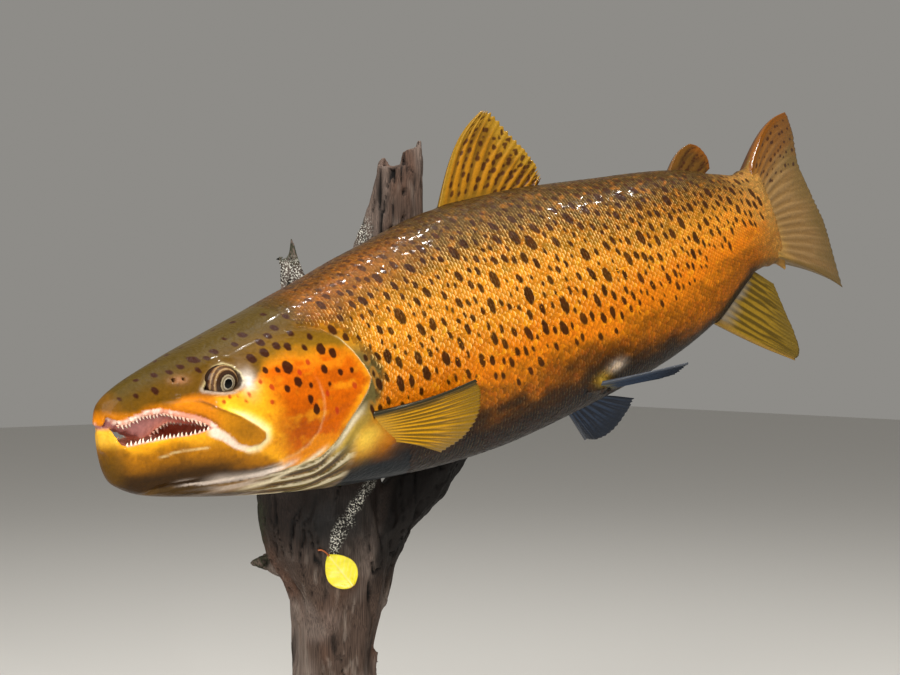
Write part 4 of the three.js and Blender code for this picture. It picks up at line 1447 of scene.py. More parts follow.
    def colour(self, points: Array) -> Array:
        """Paint the fish without its spots.

        Args:
            points: Fish coordinates, one row each.

        Returns:
            Linear colours, one row each.
        """
        x, y, z = points.T
        _, level = self.unroll(points)
        cloud = rough_noise(points / (22, 22, 9), self.seed + 20, 3)
        fine = rough_noise(points / (5, 5, 4), self.seed + 30, 2)
        shifted = level + 0.07 * cloud + 0.16 * ease(380, 540, x) * ease(-0.1, 0.2, level)
        paint = Paint(x.shape, Tone.BACK)
        lay = paint.lay
        lay(Tone.UPPER, ease(0.85, 0.5, shifted))
        lay(Tone.FLANK, ease(0.5, 0.12, shifted))
        lay(Tone.ORANGE, ease(0.06, -0.2, shifted))
        lay(Tone.OCHRE, ease(-0.2, -0.42, shifted))
        # Darker down the lower flank to the belly and breast: partly the dark belly of a spawning male,
        # partly painted shade under the body.
        low = shifted + 0.22 * ease(440, 620, x)
        lay(Tone.SMOKE, ease(-0.33, -0.52, low) * ease(150, 260, x) * 0.9)
        lay(Tone.BELLY, ease(-0.45, -0.66, low))
        lay(Tone.BREAST, ease(-0.5, -0.75, shifted) * ease(300, 200, x))
        lay(Tone.ORANGE, 0.35 * ease(0.2, 0.9, fine) * ease(0.7, 0.3, np.abs(level - 0.2)))
        lay(Tone.STALK, 0.9 * ease(640, 712, x + 12 * cloud + 20 * level) * ease(1.1, 0.6, level))
        lay(Tone.CHEEK_YELLOW, 0.3 * ease(196, 206, x) * ease(300, 250, x) * bump(level - 0.24, 0.3))
        lay(Tone.OCHRE, 0.5 * ease(150, 172, x) * ease(330, 240, x) * bump(level - 0.62, 0.3))
        lay(Tone.FOLD_WHITE, 0.95 * oval(x, z, (462, -69.5), (9, 4.5)))
        lay(Tone.GIRDLE_YELLOW, 0.55 * oval(x, z, (447, -75), (9, 5)))
        self._paint_head(paint, x, z, np.abs(y), cloud, fine)
        lay(Tone.COVER_OLIVE, 0.75 * oval(x, z, (207, -37), (13, 8)))
        return paint.colour * (1 + 0.05 * fine + 0.06 * cloud)[:, None]

    def _paint_head(self, paint: Paint, x: Array, z: Array, out: Array, cloud: Array, fine: Array) -> None:
        """Paint the head, the gill region and the mouth over the trunk's colours.

        Args:
            paint: The coats of colour so far.
            x: Lengths along the fish.
            z: Heights.
            out: Distances from the middle plane.
            cloud: Wide blotches, from about -1 to 1.
            fine: Fine ones.
        """
        plan, body = self.plan, self.fish.body
        side = plan.head_side(x, z)
        nape = ease(176, 146, x + (z - 40) * 0.3)
        head = np.maximum(ease(1.5, -1.5, side) * (z < 40), nape * ease(-62, -50, z))
        head = np.maximum(head, ease(104, 96, x))
        plate, edge = plan.maxilla(x, z), plan.gill_edge.reach(x, z)
        lay = paint.lay
        lay(Tone.HEAD_OLIVE, head)
        lay(Tone.CROWN, head * ease(0.55, 0.95, body.level(x, z)))
        lay(Tone.COVER_OLIVE, 0.7 * head * ease(100, 135, x) * ease(40, 22, z))
        soft = 3.5 + 9 * ease(100, 125, x)
        above = z - self.warm_line(x) + 2.5 * cloud + 2 * fine * ease(96, 110, x)
        warm = head * ease(1, -1, above / soft)
        lay(Tone.LIP_ORANGE, warm)
        lay(Tone.CHEEK_YELLOW, warm * ease(70, 84, x))
        lay(Tone.LIP_ORANGE, 0.14 * head * ease(17, 6, x) * ease(-8, -3, z))
        lay(Tone.COVER_ORANGE, ease(0.0, 0.7, warm) * ease(104, 124, x + 0.3 * z + 5 * cloud))
        lay(Tone.COVER_RUST, 0.8 * warm * oval(x, z, (138, -32), (20, 15)) * (1 + 0.5 * cloud))
        lay(Tone.CHEEK_YELLOW, 0.6 * warm * bump(edge - 2, 3.5) * ease(120, 150, x))
        lay(Tone.COVER_RUST, 0.45 * warm * ease(0.1, 0.6, fine - 0.4 * cloud) * ease(100, 115, x))
        lay(Tone.CHEEK_YELLOW, 0.35 * warm * ease(0.0, 0.7, cloud + 0.5 * fine) * ease(112, 130, x))
        # Painted reflection: a silvery shine on the skin behind the eye.
        lay(Tone.EYE_SILVER, 0.7 * oval(x, z, (99.5, 6.0), (5.6, 8.5)) * (1 + 0.5 * fine))
        lid = plan.eye_opening(x, z)
        lay(Tone.EYE_SILVER, 0.45 * bump(lid - 1.6, 1.1) * ease(8, 3, z))
        lay(Tone.RIM_CREAM, 0.4 * bump(lid - 1.3, 0.8) * ease(3, 8, z))
        lay(Tone.LID_DARK, 0.85 * ease(0.9, 0.3, lid))
        lay(Tone.NOSTRIL_PINK, 0.6 * oval(x, z, (55.5, 12.8), (5.5, 2.8)))
        above = ease(-3, 3, z - self.cheek_low(x))
        lay(Tone.BRIGHT_YELLOW, head * above * ease(9, 2, plate) * ease(72, 84, x) * (plate > 0))
        jaw_top, fold = self.jaw_top(x), self.jaw_low(x)
        under = head * ease(1, -1.5, z - jaw_top) * ease(126, 114, x)
        lay(Tone.JAW_GOLD, under)
        share = (jaw_top - z + 3 * cloud) / (jaw_top - fold)
        # Darker towards the jaw's underside: partly brown skin, partly painted shade.
        lay(Tone.JAW_BROWN, under * 0.95 * ease(0.38, 0.85, share))
        lay(Tone.CHEEK_YELLOW, 0.85 * under * bump(share - 0.1, 0.16))
        lay(Tone.JAW_BROWN, 0.3 * under * ease(0.1, 0.8, fine + 0.5 * cloud) * ease(0.1, 0.3, share))
        lay(Tone.KYPE_YELLOW, 0.6 * ease(-30, -20, z) * ease(12, 6, x) * (z < -13))
        lay(Tone.HEAD_OLIVE, 0.7 * ease(18, 4, x) * ease(-20, -32, z + 3 * cloud))
        fold_skin = ease(1.0, -0.6, z - self.corner_top(x)) * ease(-1.2, 0.8, z - self.corner_low(x))
        fold_skin = fold_skin * ease(64, 70, x) * ease(108, 98, x)
        lay(Tone.FOLD_WHITE, 0.8 * head * fold_skin * (plate > -1))
        lay(Tone.RIM_CREAM,
            0.9 * bump(plate - 1.6, 1.4 + 1.2 * ease(86, 98, x)) * ease(84, 96, x + 0.3 * z + 8))
        plate_in = ease(0.6, -1.8, plate)
        lay(Tone.PLATE_OCHRE, plate_in * ease(58, 84, x + 3 * fine) * 0.95)
        shadow = 0.6 * bump(plate + 0.8, 1.2) * ease(56, 66, x) * ease(100, 84, x)
        lay(Tone.JAW_BROWN, shadow * ease(-26, -14, z + 0.4 * (x - 70)))
        lay(Tone.HEAD_OLIVE, 0.5 * plate_in * oval(x, z, (95, -27), (13, 8)) * (1 + 0.6 * fine))
        lay(Tone.RIM_CREAM, 0.16 * bump(plan.cheek_crease.reach(x, z) + 0.4 * fine, 0.8) * ease(4, -14, z))
        lay(Tone.RIM_CREAM, 0.4 * bump(plan.jaw_crease.reach(x, z) + 0.3 * fine, 0.7) * ease(24, 34, x))
        strand = lattice_noise(np.stack([x / 26, 0 * x, z / 1.3], 1), self.seed + 41)
        fold_line = bump(plan.jaw_fold.reach(x, z) - 0.8, 1.6) * ease(40, 62, x) * ease(134, 122, x)
        lay(Tone.FOLD_LILAC, 0.9 * fold_line * ease(-0.5, 0.3, strand))
        lay(Tone.JAW_BROWN, 0.7 * fold_line * ease(-0.2, -0.6, strand))
        self._paint_gills(paint, x, z, edge, side)
        self._paint_mouth(paint, x, z, out, fine)

    def _paint_gills(self, paint: Paint, x: Array, z: Array, edge: Array, side: Array) -> None:
        """Paint the throat, the gill rays and the band behind the gill cover.

        Args:
            paint: The coats of colour so far.
            x: Lengths along the fish.
            z: Heights.
            edge: Distances to the gill cover's edge.
            side: Signed distances to the head's outline, negative on it.
        """
        plan = self.plan
        top, bottom = plan.ray_top(x), plan.ray_bottom(x)
        share = (top - z) / (top - bottom)
        region = ease(-0.03, 0.04, share) * ease(196, 184, x) * ease(24, 40, x)
        lay = paint.lay
        lay(Tone.THROAT, region)
        streak = lattice_noise(np.stack([x / 30, 0 * x, z / 1.7], 1), self.seed + 40)
        wave = 0.5 - 0.5 * np.cos(2 * np.pi * plan.gill_rays * (share + 0.03 * streak))
        rays = region * ease(98, 132, x) * ease(1.4, 1.1, share)
        lay(Tone.FOLD_LILAC, 0.6 * region * ease(-0.4, 0.2, streak) * ease(50, 74, x) * (1 - 0.8 * rays))
        lay(Tone.JAW_BROWN, 0.45 * region * ease(-0.3, -0.7, streak) * (1 - rays))
        # Painted shade on the lower throat and the chin.
        shaded_chin = np.maximum(ease(0.35, 0.75, share) * ease(128, 100, x), ease(88, 66, x))
        lay(Tone.JAW_BROWN, 0.8 * region * shaded_chin)
        lay(Tone.RAY_OLIVE, rays * ease(0.5, 0.1, wave) * 0.8)
        lay(Tone.GIRDLE, rays * ease(0.35, 0.6, wave))
        lay(Tone.RAY_CREAM, 0.75 * rays * ease(0.7, 0.95, wave + 0.15 * streak))
        rope = z - self.upper_rope(x)
        ends = ease(60, 80, x) * ease(142, 126, x)
        lay(Tone.FOLD_LILAC, 0.6 * ends * bump(rope + 0.4, 3.0) * ease(-1.0, -0.2, streak))
        lay(Tone.FOLD_WHITE, 0.55 * ends * bump(rope + 0.8, 1.2) * ease(86, 104, x))
        rope = z - self.lower_rope(x)
        lay(Tone.RAY_CREAM, 0.85 * bump(rope, 2.0) * ease(92, 112, x) * ease(166, 154, x))
        behind = ease(0, 1.2, side) * ease(150, 168, x + 0.2 * z)
        band = behind * ease(18, 12, edge)
        lay(Tone.GIRDLE, band * ease(-66, -52, z) * ease(24, 8, z))
        lay(Tone.GIRDLE_YELLOW, behind * oval(x, z, (200, -51), (13, 12)))
        lay(Tone.RAY_CREAM, behind * bump(edge - 3.5, 2.6) * ease(-22, -36, z))
        lay(Tone.GIRDLE_YELLOW, 0.5 * behind * bump(edge - 7.0, 2.0) * ease(-30, -44, z))
        lay(Tone.RIM_CREAM, 0.7 * bump(edge - 0.2, 0.8) * ease(120, 150, x) * ease(30, 20, z))

    def _paint_mouth(self, paint: Paint, x: Array, z: Array, out: Array, fine: Array) -> None:
        """Paint the gums, palate and gullet where the skin turns into the mouth, with painted light and
        shade inside it.

        Args:
            paint: The coats of colour so far.
            x: Lengths along the fish.
            z: Heights.
            out: Distances from the middle plane.
            fine: Fine ones.
        """
        inner = -self.fish.body.distance(x, out, z)
        gape, behind_kype = self.plan.gape(x, z), ease(-14, -12, z) + ease(8, 9.5, x)
        tissue = np.maximum(ease(1.6, 2.6, inner), ease(0.1, -0.6, gape)) * np.clip(behind_kype, 0, 1)
        tissue = tissue * ease(112, 106, x) * ease(5, 1, z) * ease(-46, -40, z) * ease(-3, 1, x)
        tissue = tissue * (self.plan.eye_opening(x, z) > 1.5)
        roof = ease(-24, -19, z + 0.04 * x)
        under_lip = self.plan.lip(upper=True)(x) - z
        lay = paint.lay
        # The floor, the rose of the palate and the gullet are painted paler than the flesh, as painted
        # light in the shaded mouth; the roof's mauve is darker, as painted shade.
        lay(Tone.MOUTH_FLOOR, tissue)
        lay(Tone.PALATE_MAUVE, tissue * roof)
        lay(Tone.PALATE_ROSE, tissue * roof * ease(24, 40, x) * ease(13, 8, out))
        lay(Tone.GULLET_RED, tissue * ease(50, 80, x) * ease(4, 9, inner))
        lay(Tone.PALATE_ROSE, tissue * roof * bump(out - 8.5, 3.0) * ease(34, 42, x))
        lay(Tone.GUM_PINK, tissue * ease(7.5, 5.5, inner) * ease(4, 9, x) * ease(5.2, 3.8, under_lip))
        # Painted highlights: white glints on the wet gums.
        lay(Tone.FOLD_WHITE,
            0.7 * tissue * ease(7.5, 5.5, inner) * ease(5.2, 3.8, under_lip) * ease(0.0, 0.5, fine))
        lay(Tone.GUM_PINK, tissue * ease(6.5, 4.5, inner) * ease(8, 12, x) * ease(-22, -25, z))

    def gleam(self, points: Array) -> Array:
        """Give how pale the scales' rims are: strongly on the flank, hardly on back and belly.

        Args:
            points: Fish coordinates, one row each.

        Returns:
            One share for each.
        """
        _, level = self.unroll(points)
        x = points[:, 0]
        flank = ease(-0.24, 0.0, level) * ease(0.68, 0.25, level) * (1 - 0.55 * ease(430, 640, x))
        return 0.08 + 0.92 * flank

    def paint(self, mesh: bpy.types.Mesh, points: Array) -> None:
        """Store the pigment and the distances to the spots at a mesh's vertices.

        Args:
            mesh: The mesh to mark.
            points: Its vertices in fish coordinates.
        """
        if not self._spots:
            for side in Side:
                self._spots[side] = self._scatter(side) + self._on_head(side, self.head_spots)
                self._reds[side] = self._on_head(side, self.red_spots)
        dark, fade = self.nearest(points, self._spots)
        red, _ = self.nearest(points, self._reds)
        colour = self.colour(points)
        _, level = self.unroll(points)
        halo = 0.32 * bump(dark - 1.4, 1.2) * ease(196, 210, points[:, 0]) * ease(0.5, 0.3, level)
        colour += (linear(Tone.ORANGE) * 1.2 - colour) * halo[:, None]
        inner = -self.fish.body.distance(points[:, 0], np.abs(points[:, 1]), points[:, 2])
        clear = 8 * ease(2.0, 3.0, inner)
        put(mesh, "pigment", colour)
        put(mesh, "spot", dark + clear)
        put(mesh, "fade", fade)
        put(mesh, "red_spot", red + clear)


# ---- finishes
Nodes = Callable[..., bpy.types.Node]
Place = bpy.types.NodeSocket
COLOURS = {"data_type": "RGBA"}  # a Mix of colours: 0 is the share, 6 and 7 are the two colours
TIMES = {**COLOURS, "blend_type": "MULTIPLY"}
# A MapRange has 0 for its value, 1 and 2 for the range that it comes from, 3 and 4 for the one it goes to.


def cells(size: float) -> float:
    """Give a pattern's scale, in cells to the metre, from the size of one cell in millimetres."""
    return 1 / (size * MM)


@dataclass(frozen=True)
class Finish:
    """What every material is made from: a name, and the inputs of one principled shader."""

    name: str

    def surface(self, node: Nodes, place: Place) -> dict:
        """Give the shader's inputs.

        Args:
            node: Adds a shader node, whose kind is named without "ShaderNode".
            place: The piece's own coordinates.

        Returns:
            For each input, a value or the node or socket that feeds it.
        """
        raise NotImplementedError

    def material(self) -> bpy.types.Material:
        """Make the material.

        Returns:
            The material.
        """
        made = bpy.data.materials.new(self.name)
        made.use_nodes = True
        tree = made.node_tree
        tree.nodes.clear()

        def node(kind: str, links: dict | None = None, **settings: object) -> bpy.types.Node:
            """Add a shader node to the material."""
            return add(tree, "ShaderNode" + kind, links, **settings)

        place = node("TexCoord").outputs["Object"]
        node("OutputMaterial", {"Surface": node("BsdfPrincipled", self.surface(node, place))})
        return made


@dataclass(frozen=True)
class VarnishedSkin(Finish):
    """A taxidermist's painted skin: deep, wet colour under a hard varnish with small sharp highlights."""

    name: str = "varnished_trout_skin"
    spot: str = "#321204"
    faded_spot: str = "#45270d"
    red: str = "#a92d10"
    rim: float = 0.8
    speck: float = 2.6
    speck_least: float = 0.85
    pore: float = 1.0
    swell: float = 3.6
    roughness: float = 0.42
    coat: float = 0.11
    coat_roughness: float = 0.06

    def pigment(self, node: Nodes, place: Place) -> bpy.types.Node:
        """Give the painted colour with its dark and red spots.

        Args:
            node: Adds a node to the material.
            place: The piece's own coordinates.

        Returns:
            The node of the finished colour.
        """
        ground, spot, fade, red = (
            node("Attribute", attribute_name=name).outputs[output]
            for name, output in (("pigment", "Color"), ("spot", "Fac"), ("fade", "Fac"),
                                 ("red_spot", "Fac")))
        speck = node("TexNoise", {"Vector": place, "Scale": cells(self.speck), "Detail": 4.0})
        speck = node("MapRange", {0: speck, 1: 0.3, 2: 0.7, 3: self.speck_least, 4: 1.06})
        ground = node("Mix", {0: 1.0, 6: ground, 7: speck}, **TIMES)
        covered = node("MapRange", {0: spot, 1: self.rim, 2: -self.rim}, interpolation_type="SMOOTHSTEP")
        strength = node("MapRange", {0: fade, 3: 0.97, 4: 0.4})
        covered = node("Math", {0: covered, 1: strength}, operation="MULTIPLY")
        dark = node("Mix", {0: fade, 6: rgba(self.spot), 7: rgba(self.faded_spot)}, **COLOURS)
        red = node("MapRange", {0: red, 1: self.rim, 2: -self.rim, 4: 0.85},
                   interpolation_type="SMOOTHSTEP")
        ground = node("Mix", {0: red, 6: ground, 7: rgba(self.red)}, **COLOURS)
        return node("Mix", {0: covered, 6: ground, 7: dark}, **COLOURS)

    def bumps(self, node: Nodes, place: Place) -> bpy.types.Node:
        """Give pores on a gentle swell, which breaks up the varnish's highlights.

        Args:
            node: Adds a node to the material.
            place: The piece's own coordinates.

        Returns:
            The node of the surface's normal.
        """
        wide = node("TexNoise", {"Vector": place, "Scale": cells(self.swell), "Detail": 2.0})
        wide = node("Bump", {"Height": wide, "Distance": 0.8 * MM, "Strength": 0.9})
        fine = node("TexNoise", {"Vector": place, "Scale": cells(self.pore), "Detail": 2.0})
        return node("Bump", {"Height": fine, "Distance": 0.06 * MM, "Strength": 0.7, "Normal": wide})

    def colour(self, node: Nodes, place: Place) -> bpy.types.Node:
        """Give the surface's own colour."""
        return self.pigment(node, place)

    def surface(self, node: Nodes, place: Place) -> dict:
        """Give a clear coat over the paint.

        Args:
            node: Adds a node to the material.
            place: The piece's own coordinates.

        Returns:
            The values of the shader's inputs.
        """
        return {"Base Color": self.colour(node, place), "Normal": self.bumps(node, place),
                "Roughness": self.roughness, "IOR": 1.45, "Specular IOR Level": 0.08,
                "Coat Weight": self.coat, "Coat Roughness": self.coat_roughness}


@dataclass(frozen=True)
class PearlScale(VarnishedSkin):
    """Varnished scales: the skin's paint with a pale pearly rear rim on each, and painted shade at its root
    where the scale before it lies over it.
    """

    name: str = "varnished_trout_scales"
    pearl: str = "#f5cc82"
    tints: tuple[str, ...] = ("#5c5a20", "#6e6a48", "#808080", "#8a7a5c", "#b98a4a", "#d8cfa8")
    mottle: float = 0.42
    shade: str = "#4a2a0c"
    coat: float = 0.12
    coat_roughness: float = 0.08

    def colour(self, node: Nodes, place: Place) -> bpy.types.Node:
        """Lighten each scale's rim, and darken its root with painted shade.

        Args:
            node: Adds a node to the material.
            place: The piece's own coordinates.

        Returns:
            The node of the finished colour.
        """
        rim, spot, tint, gleam = (
            node("Attribute", attribute_name=name).outputs["Fac"]
            for name in ("rim", "spot", "tint", "gleam"))
        last = len(self.tints) - 1
        mottle = node("ValToRGB", {"Fac": tint},
                      stops=[(k / last, code) for k, code in enumerate(self.tints)])
        ground = node("Mix", {0: self.mottle, 6: self.pigment(node, place), 7: mottle},
                      data_type="RGBA", blend_type="OVERLAY")
        # Painted shade at each scale's root, where the scale before it lies over it.
        root = node("MapRange", {0: rim, 1: 0.45, 2: 0.75, 3: 0.3, 4: 0.0})
        ground = node("Mix", {0: root, 6: ground, 7: rgba(self.shade)}, **COLOURS)
        bright = node("MapRange", {0: rim, 1: 0.78, 2: 0.94})
        clear = node("MapRange", {0: spot, 1: -self.rim, 2: self.rim, 3: 0.1})
        some = node("MapRange", {0: tint, 3: 0.35})
        for share in (gleam, clear, some):
            bright = node("Math", {0: bright, 1: share}, operation="MULTIPLY")
        return node("Mix", {0: bright, 6: ground, 7: rgba(self.pearl)}, **COLOURS)


@dataclass(frozen=True)
class FinMembrane(VarnishedSkin):
    """Dried, varnished fin: paint over hard rays and a thin web, finely streaked along the rays."""

    name: str = "varnished_fin_membrane"
    speck: float = 1.1
    pore: float = 0.7
    coat: float = 0.3
    coat_roughness: float = 0.15


@dataclass(frozen=True)
class GlassEye(Finish):
    """A taxidermist's glass eye: a painted iris deep under polished glass, so it gives one sharp light."""

    name: str = "polished_glass_eye"
    rings: tuple[tuple[float, str], ...] = (  # distance from the pupil's middle and colour
        (0.0, "#020202"), (3.3, "#040303"), (3.6, "#b3aa96"), (4.3, "#8d8068"), (4.9, "#5c4a36"),
        (5.4, "#8f836b"), (6.0, "#9a8a6c"), (6.5, "#24160d"), (8.0, "#3a2618"), (8.8, "#2c1c12"),
        (9.5, "#6b4c2c"), (10.3, "#a88a60"), (11.0, "#5e4027"), (12.0, "#452d18"), (12.7, "#97764c"),
        (13.3, "#59391f"), (14.0, "#2a1a10"))

    def surface(self, node: Nodes, place: Place) -> dict:
        """Give rings of colour by distance from the pupil, with ragged edges, under glass.

        Args:
            node: Adds a node to the material.
            place: The piece's own coordinates.

        Returns:
            The values of the shader's inputs.
        """
        radius = node("Attribute", attribute_name="iris").outputs["Fac"]
        ragged = node("TexNoise", {"Vector": place, "Scale": cells(1.2), "Detail": 3.0})
        radius = node("Math", {0: ragged, 1: 1.1, 2: radius}, operation="MULTIPLY_ADD")
        span = self.rings[-1][0]
        share = node("MapRange", {0: radius, 1: 0.55, 2: span + 0.55})
        ramp = node("ValToRGB", {"Fac": share}, stops=[(at / span, code) for at, code in self.rings])
        return {"Base Color": ramp, "Roughness": 0.5, "IOR": 1.5, "Specular IOR Level": 0.0,
                "Coat Weight": 0.45, "Coat Roughness": 0.02, "Coat IOR": 1.5}


@dataclass(frozen=True)
class Enamel(Finish):
    """Tooth enamel: ivory, a little translucent, smooth and wet."""

    name: str = "tooth_enamel"
    ivory: str = "#fff3de"
    root: str = "#f0c0a6"

    def surface(self, node: Nodes, place: Place) -> dict:
        """Give ivory, stained towards the gum.

        Args:
            node: Adds a node to the material.
            place: The piece's own coordinates.

        Returns:
            The values of the shader's inputs.
        """
        height = node("Attribute", attribute_name="rim").outputs["Fac"]
        tint = node("MapRange", {0: height, 2: 0.5})
        fine = node("TexNoise", {"Vector": place, "Scale": cells(0.6)})
        return {"Base Color": node("Mix", {0: tint, 6: rgba(self.root), 7: rgba(self.ivory)}, **COLOURS),
                "Roughness": 0.25, "IOR": 1.6, "Coat Weight": 0.5, "Coat Roughness": 0.08,
                "Subsurface Weight": 0.15, "Subsurface Scale": 0.001,
                "Normal": node("Bump", {"Height": fine, "Distance": 0.04 * MM, "Strength": 0.5})}


@dataclass(frozen=True)
class WetFlesh(Finish):
    """Painted mouth flesh: pink and mauve, soft-looking and wet."""

    name: str = "painted_mouth_flesh"
    pale: str = "#d9a08c"
    deep: str = "#a85f52"

    def surface(self, node: Nodes, place: Place) -> dict:
        """Give clouded pink with small glossy bumps like those of a tongue.

        Args:
            node: Adds a node to the material.
            place: The piece's own coordinates.

        Returns:
            The values of the shader's inputs.
        """
        cloud = node("TexNoise", {"Vector": place, "Scale": cells(6), "Detail": 3.0})
        buds = node("TexVoronoi", {"Vector": place, "Scale": cells(1.3)})
        return {"Base Color": node("Mix", {0: cloud, 6: rgba(self.pale), 7: rgba(self.deep)}, **COLOURS),
                "Roughness": 0.4, "IOR": 1.4, "Coat Weight": 0.6, "Coat Roughness": 0.1,
                "Normal": node("Bump", {"Height": buds, "Distance": 0.3 * MM, "Strength": 0.6})}


@dataclass(frozen=True)
class WeatheredWood(Finish):
    """Grey driftwood: sun-bleached fibres along the grain, black in its cracks, dry and dull."""

    name: str = "weathered_driftwood"
    fibre: float = 0.6
    fibre_length: float = 30.0
    pit: float = 2.2
    lichen: str = "#e4e2d6"
    grain: float = 1.3  # one crumb of lichen
    roughness: float = 0.78

    def surface(self, node: Nodes, place: Place) -> dict:
        """Give the painted tone, times fibres drawn out along the grain, with crumbs of lichen on it.

        Args:
            node: Adds a node to the material.
            place: The piece's own coordinates.

        Returns:
            The values of the shader's inputs.
        """
        tone, sheen, crust = (node("Attribute", attribute_name=name).outputs[output]
                              for name, output in (("pigment", "Color"), ("gloss", "Fac"),
                                                   ("crust", "Fac")))
        along = (1.0, 1.0, self.fibre / self.fibre_length)
        drawn = node("VectorMath", {0: place, 1: along}, operation="MULTIPLY")
        fibres = node("TexNoise", {"Vector": drawn, "Scale": cells(self.fibre), "Detail": 4.0})
        streak = node("MapRange", {0: fibres, 1: 0.3, 2: 0.7, 3: 0.4, 4: 1.6})
        grey = node("Mix", {0: 1.0, 6: tone, 7: streak}, **TIMES)
        crumbs = node("TexNoise", {"Vector": place, "Scale": cells(self.grain), "Detail": 5.0})
        crumbs = node("MapRange", {0: crumbs, 1: 0.52, 2: 0.6})
        crumbs = node("Math", {0: crumbs, 1: crust}, operation="MULTIPLY")
        pits = node("TexNoise", {"Vector": place, "Scale": cells(self.pit), "Detail": 4.0})
        worn = node("Bump", {"Height": pits, "Distance": 0.5 * MM, "Strength": 0.6})
        return {"Base Color": node("Mix", {0: crumbs, 6: grey, 7: rgba(self.lichen)}, **COLOURS),
                "Roughness": node("MapRange", {0: sheen, 3: self.roughness, 4: 0.3}),
                "IOR": 1.45, "Specular IOR Level": 0.25,
                "Normal": node("Bump",
                               {"Height": fibres, "Distance": 0.5 * MM, "Strength": 0.8, "Normal": worn})}


@dataclass(frozen=True)
class GlossyLeaf(Finish):
    """A yellow autumn leaf, sealed with varnish: waxy, bright and lightly veined."""

    name: str = "varnished_yellow_leaf"

    def surface(self, node: Nodes, place: Place) -> dict:
        """Give the leaf's painted veins, blotched.

        Args:
            node: Adds a node to the material.
            place: The piece's own coordinates.

        Returns:
            The values of the shader's inputs.
        """
        tone = node("Attribute", attribute_name="pigment").outputs["Color"]
        blotch = node("TexNoise", {"Vector": place, "Scale": cells(5), "Detail": 3.0})
        blotch = node("MapRange", {0: blotch, 1: 0.35, 2: 0.7, 3: 1.1, 4: 0.95})
        fine = node("TexNoise", {"Vector": place, "Scale": cells(1.0), "Detail": 2.0})
        return {"Base Color": node("Mix", {0: 1.0, 6: tone, 7: blotch}, **TIMES),
                "Roughness": 0.4, "IOR": 1.45, "Coat Weight": 0.7, "Coat Roughness": 0.12,
                "Normal": node("Bump", {"Height": fine, "Distance": 0.08 * MM, "Strength": 0.6})}


@dataclass(frozen=True)
class StainedOak(Finish):
    """Dark stained oak: brown-black open grain under a satin wax."""

    name: str = "dark_stained_oak"
    light: str = "#5a3a22"
    dark: str = "#24150c"

    def surface(self, node: Nodes, place: Place) -> dict:
        """Give wavy growth rings and long open pores.

        Args:
            node: Adds a node to the material.
            place: The piece's own coordinates.

        Returns:
            The values of the shader's inputs.
        """
        drawn = node("VectorMath", {0: place, 1: (0.12, 1.0, 1.0)}, operation="MULTIPLY")
        rings = node("TexNoise", {"Vector": drawn, "Scale": cells(9), "Detail": 4.0, "Distortion": 1.2})
        share = node("MapRange", {0: rings, 1: 0.35, 2: 0.65})
        pores = node("TexNoise", {"Vector": drawn, "Scale": cells(1.2), "Detail": 2.0})
        return {"Base Color": node("Mix", {0: share, 6: rgba(self.dark), 7: rgba(self.light)}, **COLOURS),
                "Roughness": 0.38, "IOR": 1.5, "Coat Weight": 0.25, "Coat Roughness": 0.25,
                "Normal": node("Bump", {"Height": pores, "Distance": 0.2 * MM, "Strength": 0.5})}


@dataclass(frozen=True)
class StudioPaper(Finish):
    """Plain pale studio floor paper: matt, with only a trace of tooth."""

    name: str = "studio_paper"
    tone: str = "#d9d7d3"

    def surface(self, node: Nodes, place: Place) -> dict:
        """Give one even tone with a faint tooth.

        Args:
            node: Adds a node to the material.
            place: The piece's own coordinates.

        Returns:
            The values of the shader's inputs.
        """
        tooth = node("TexNoise", {"Vector": place, "Scale": cells(3)})
        return {"Base Color": rgba(self.tone), "Roughness": 0.7,
                "Normal": node("Bump", {"Height": tooth, "Distance": 0.1 * MM, "Strength": 0.3})}


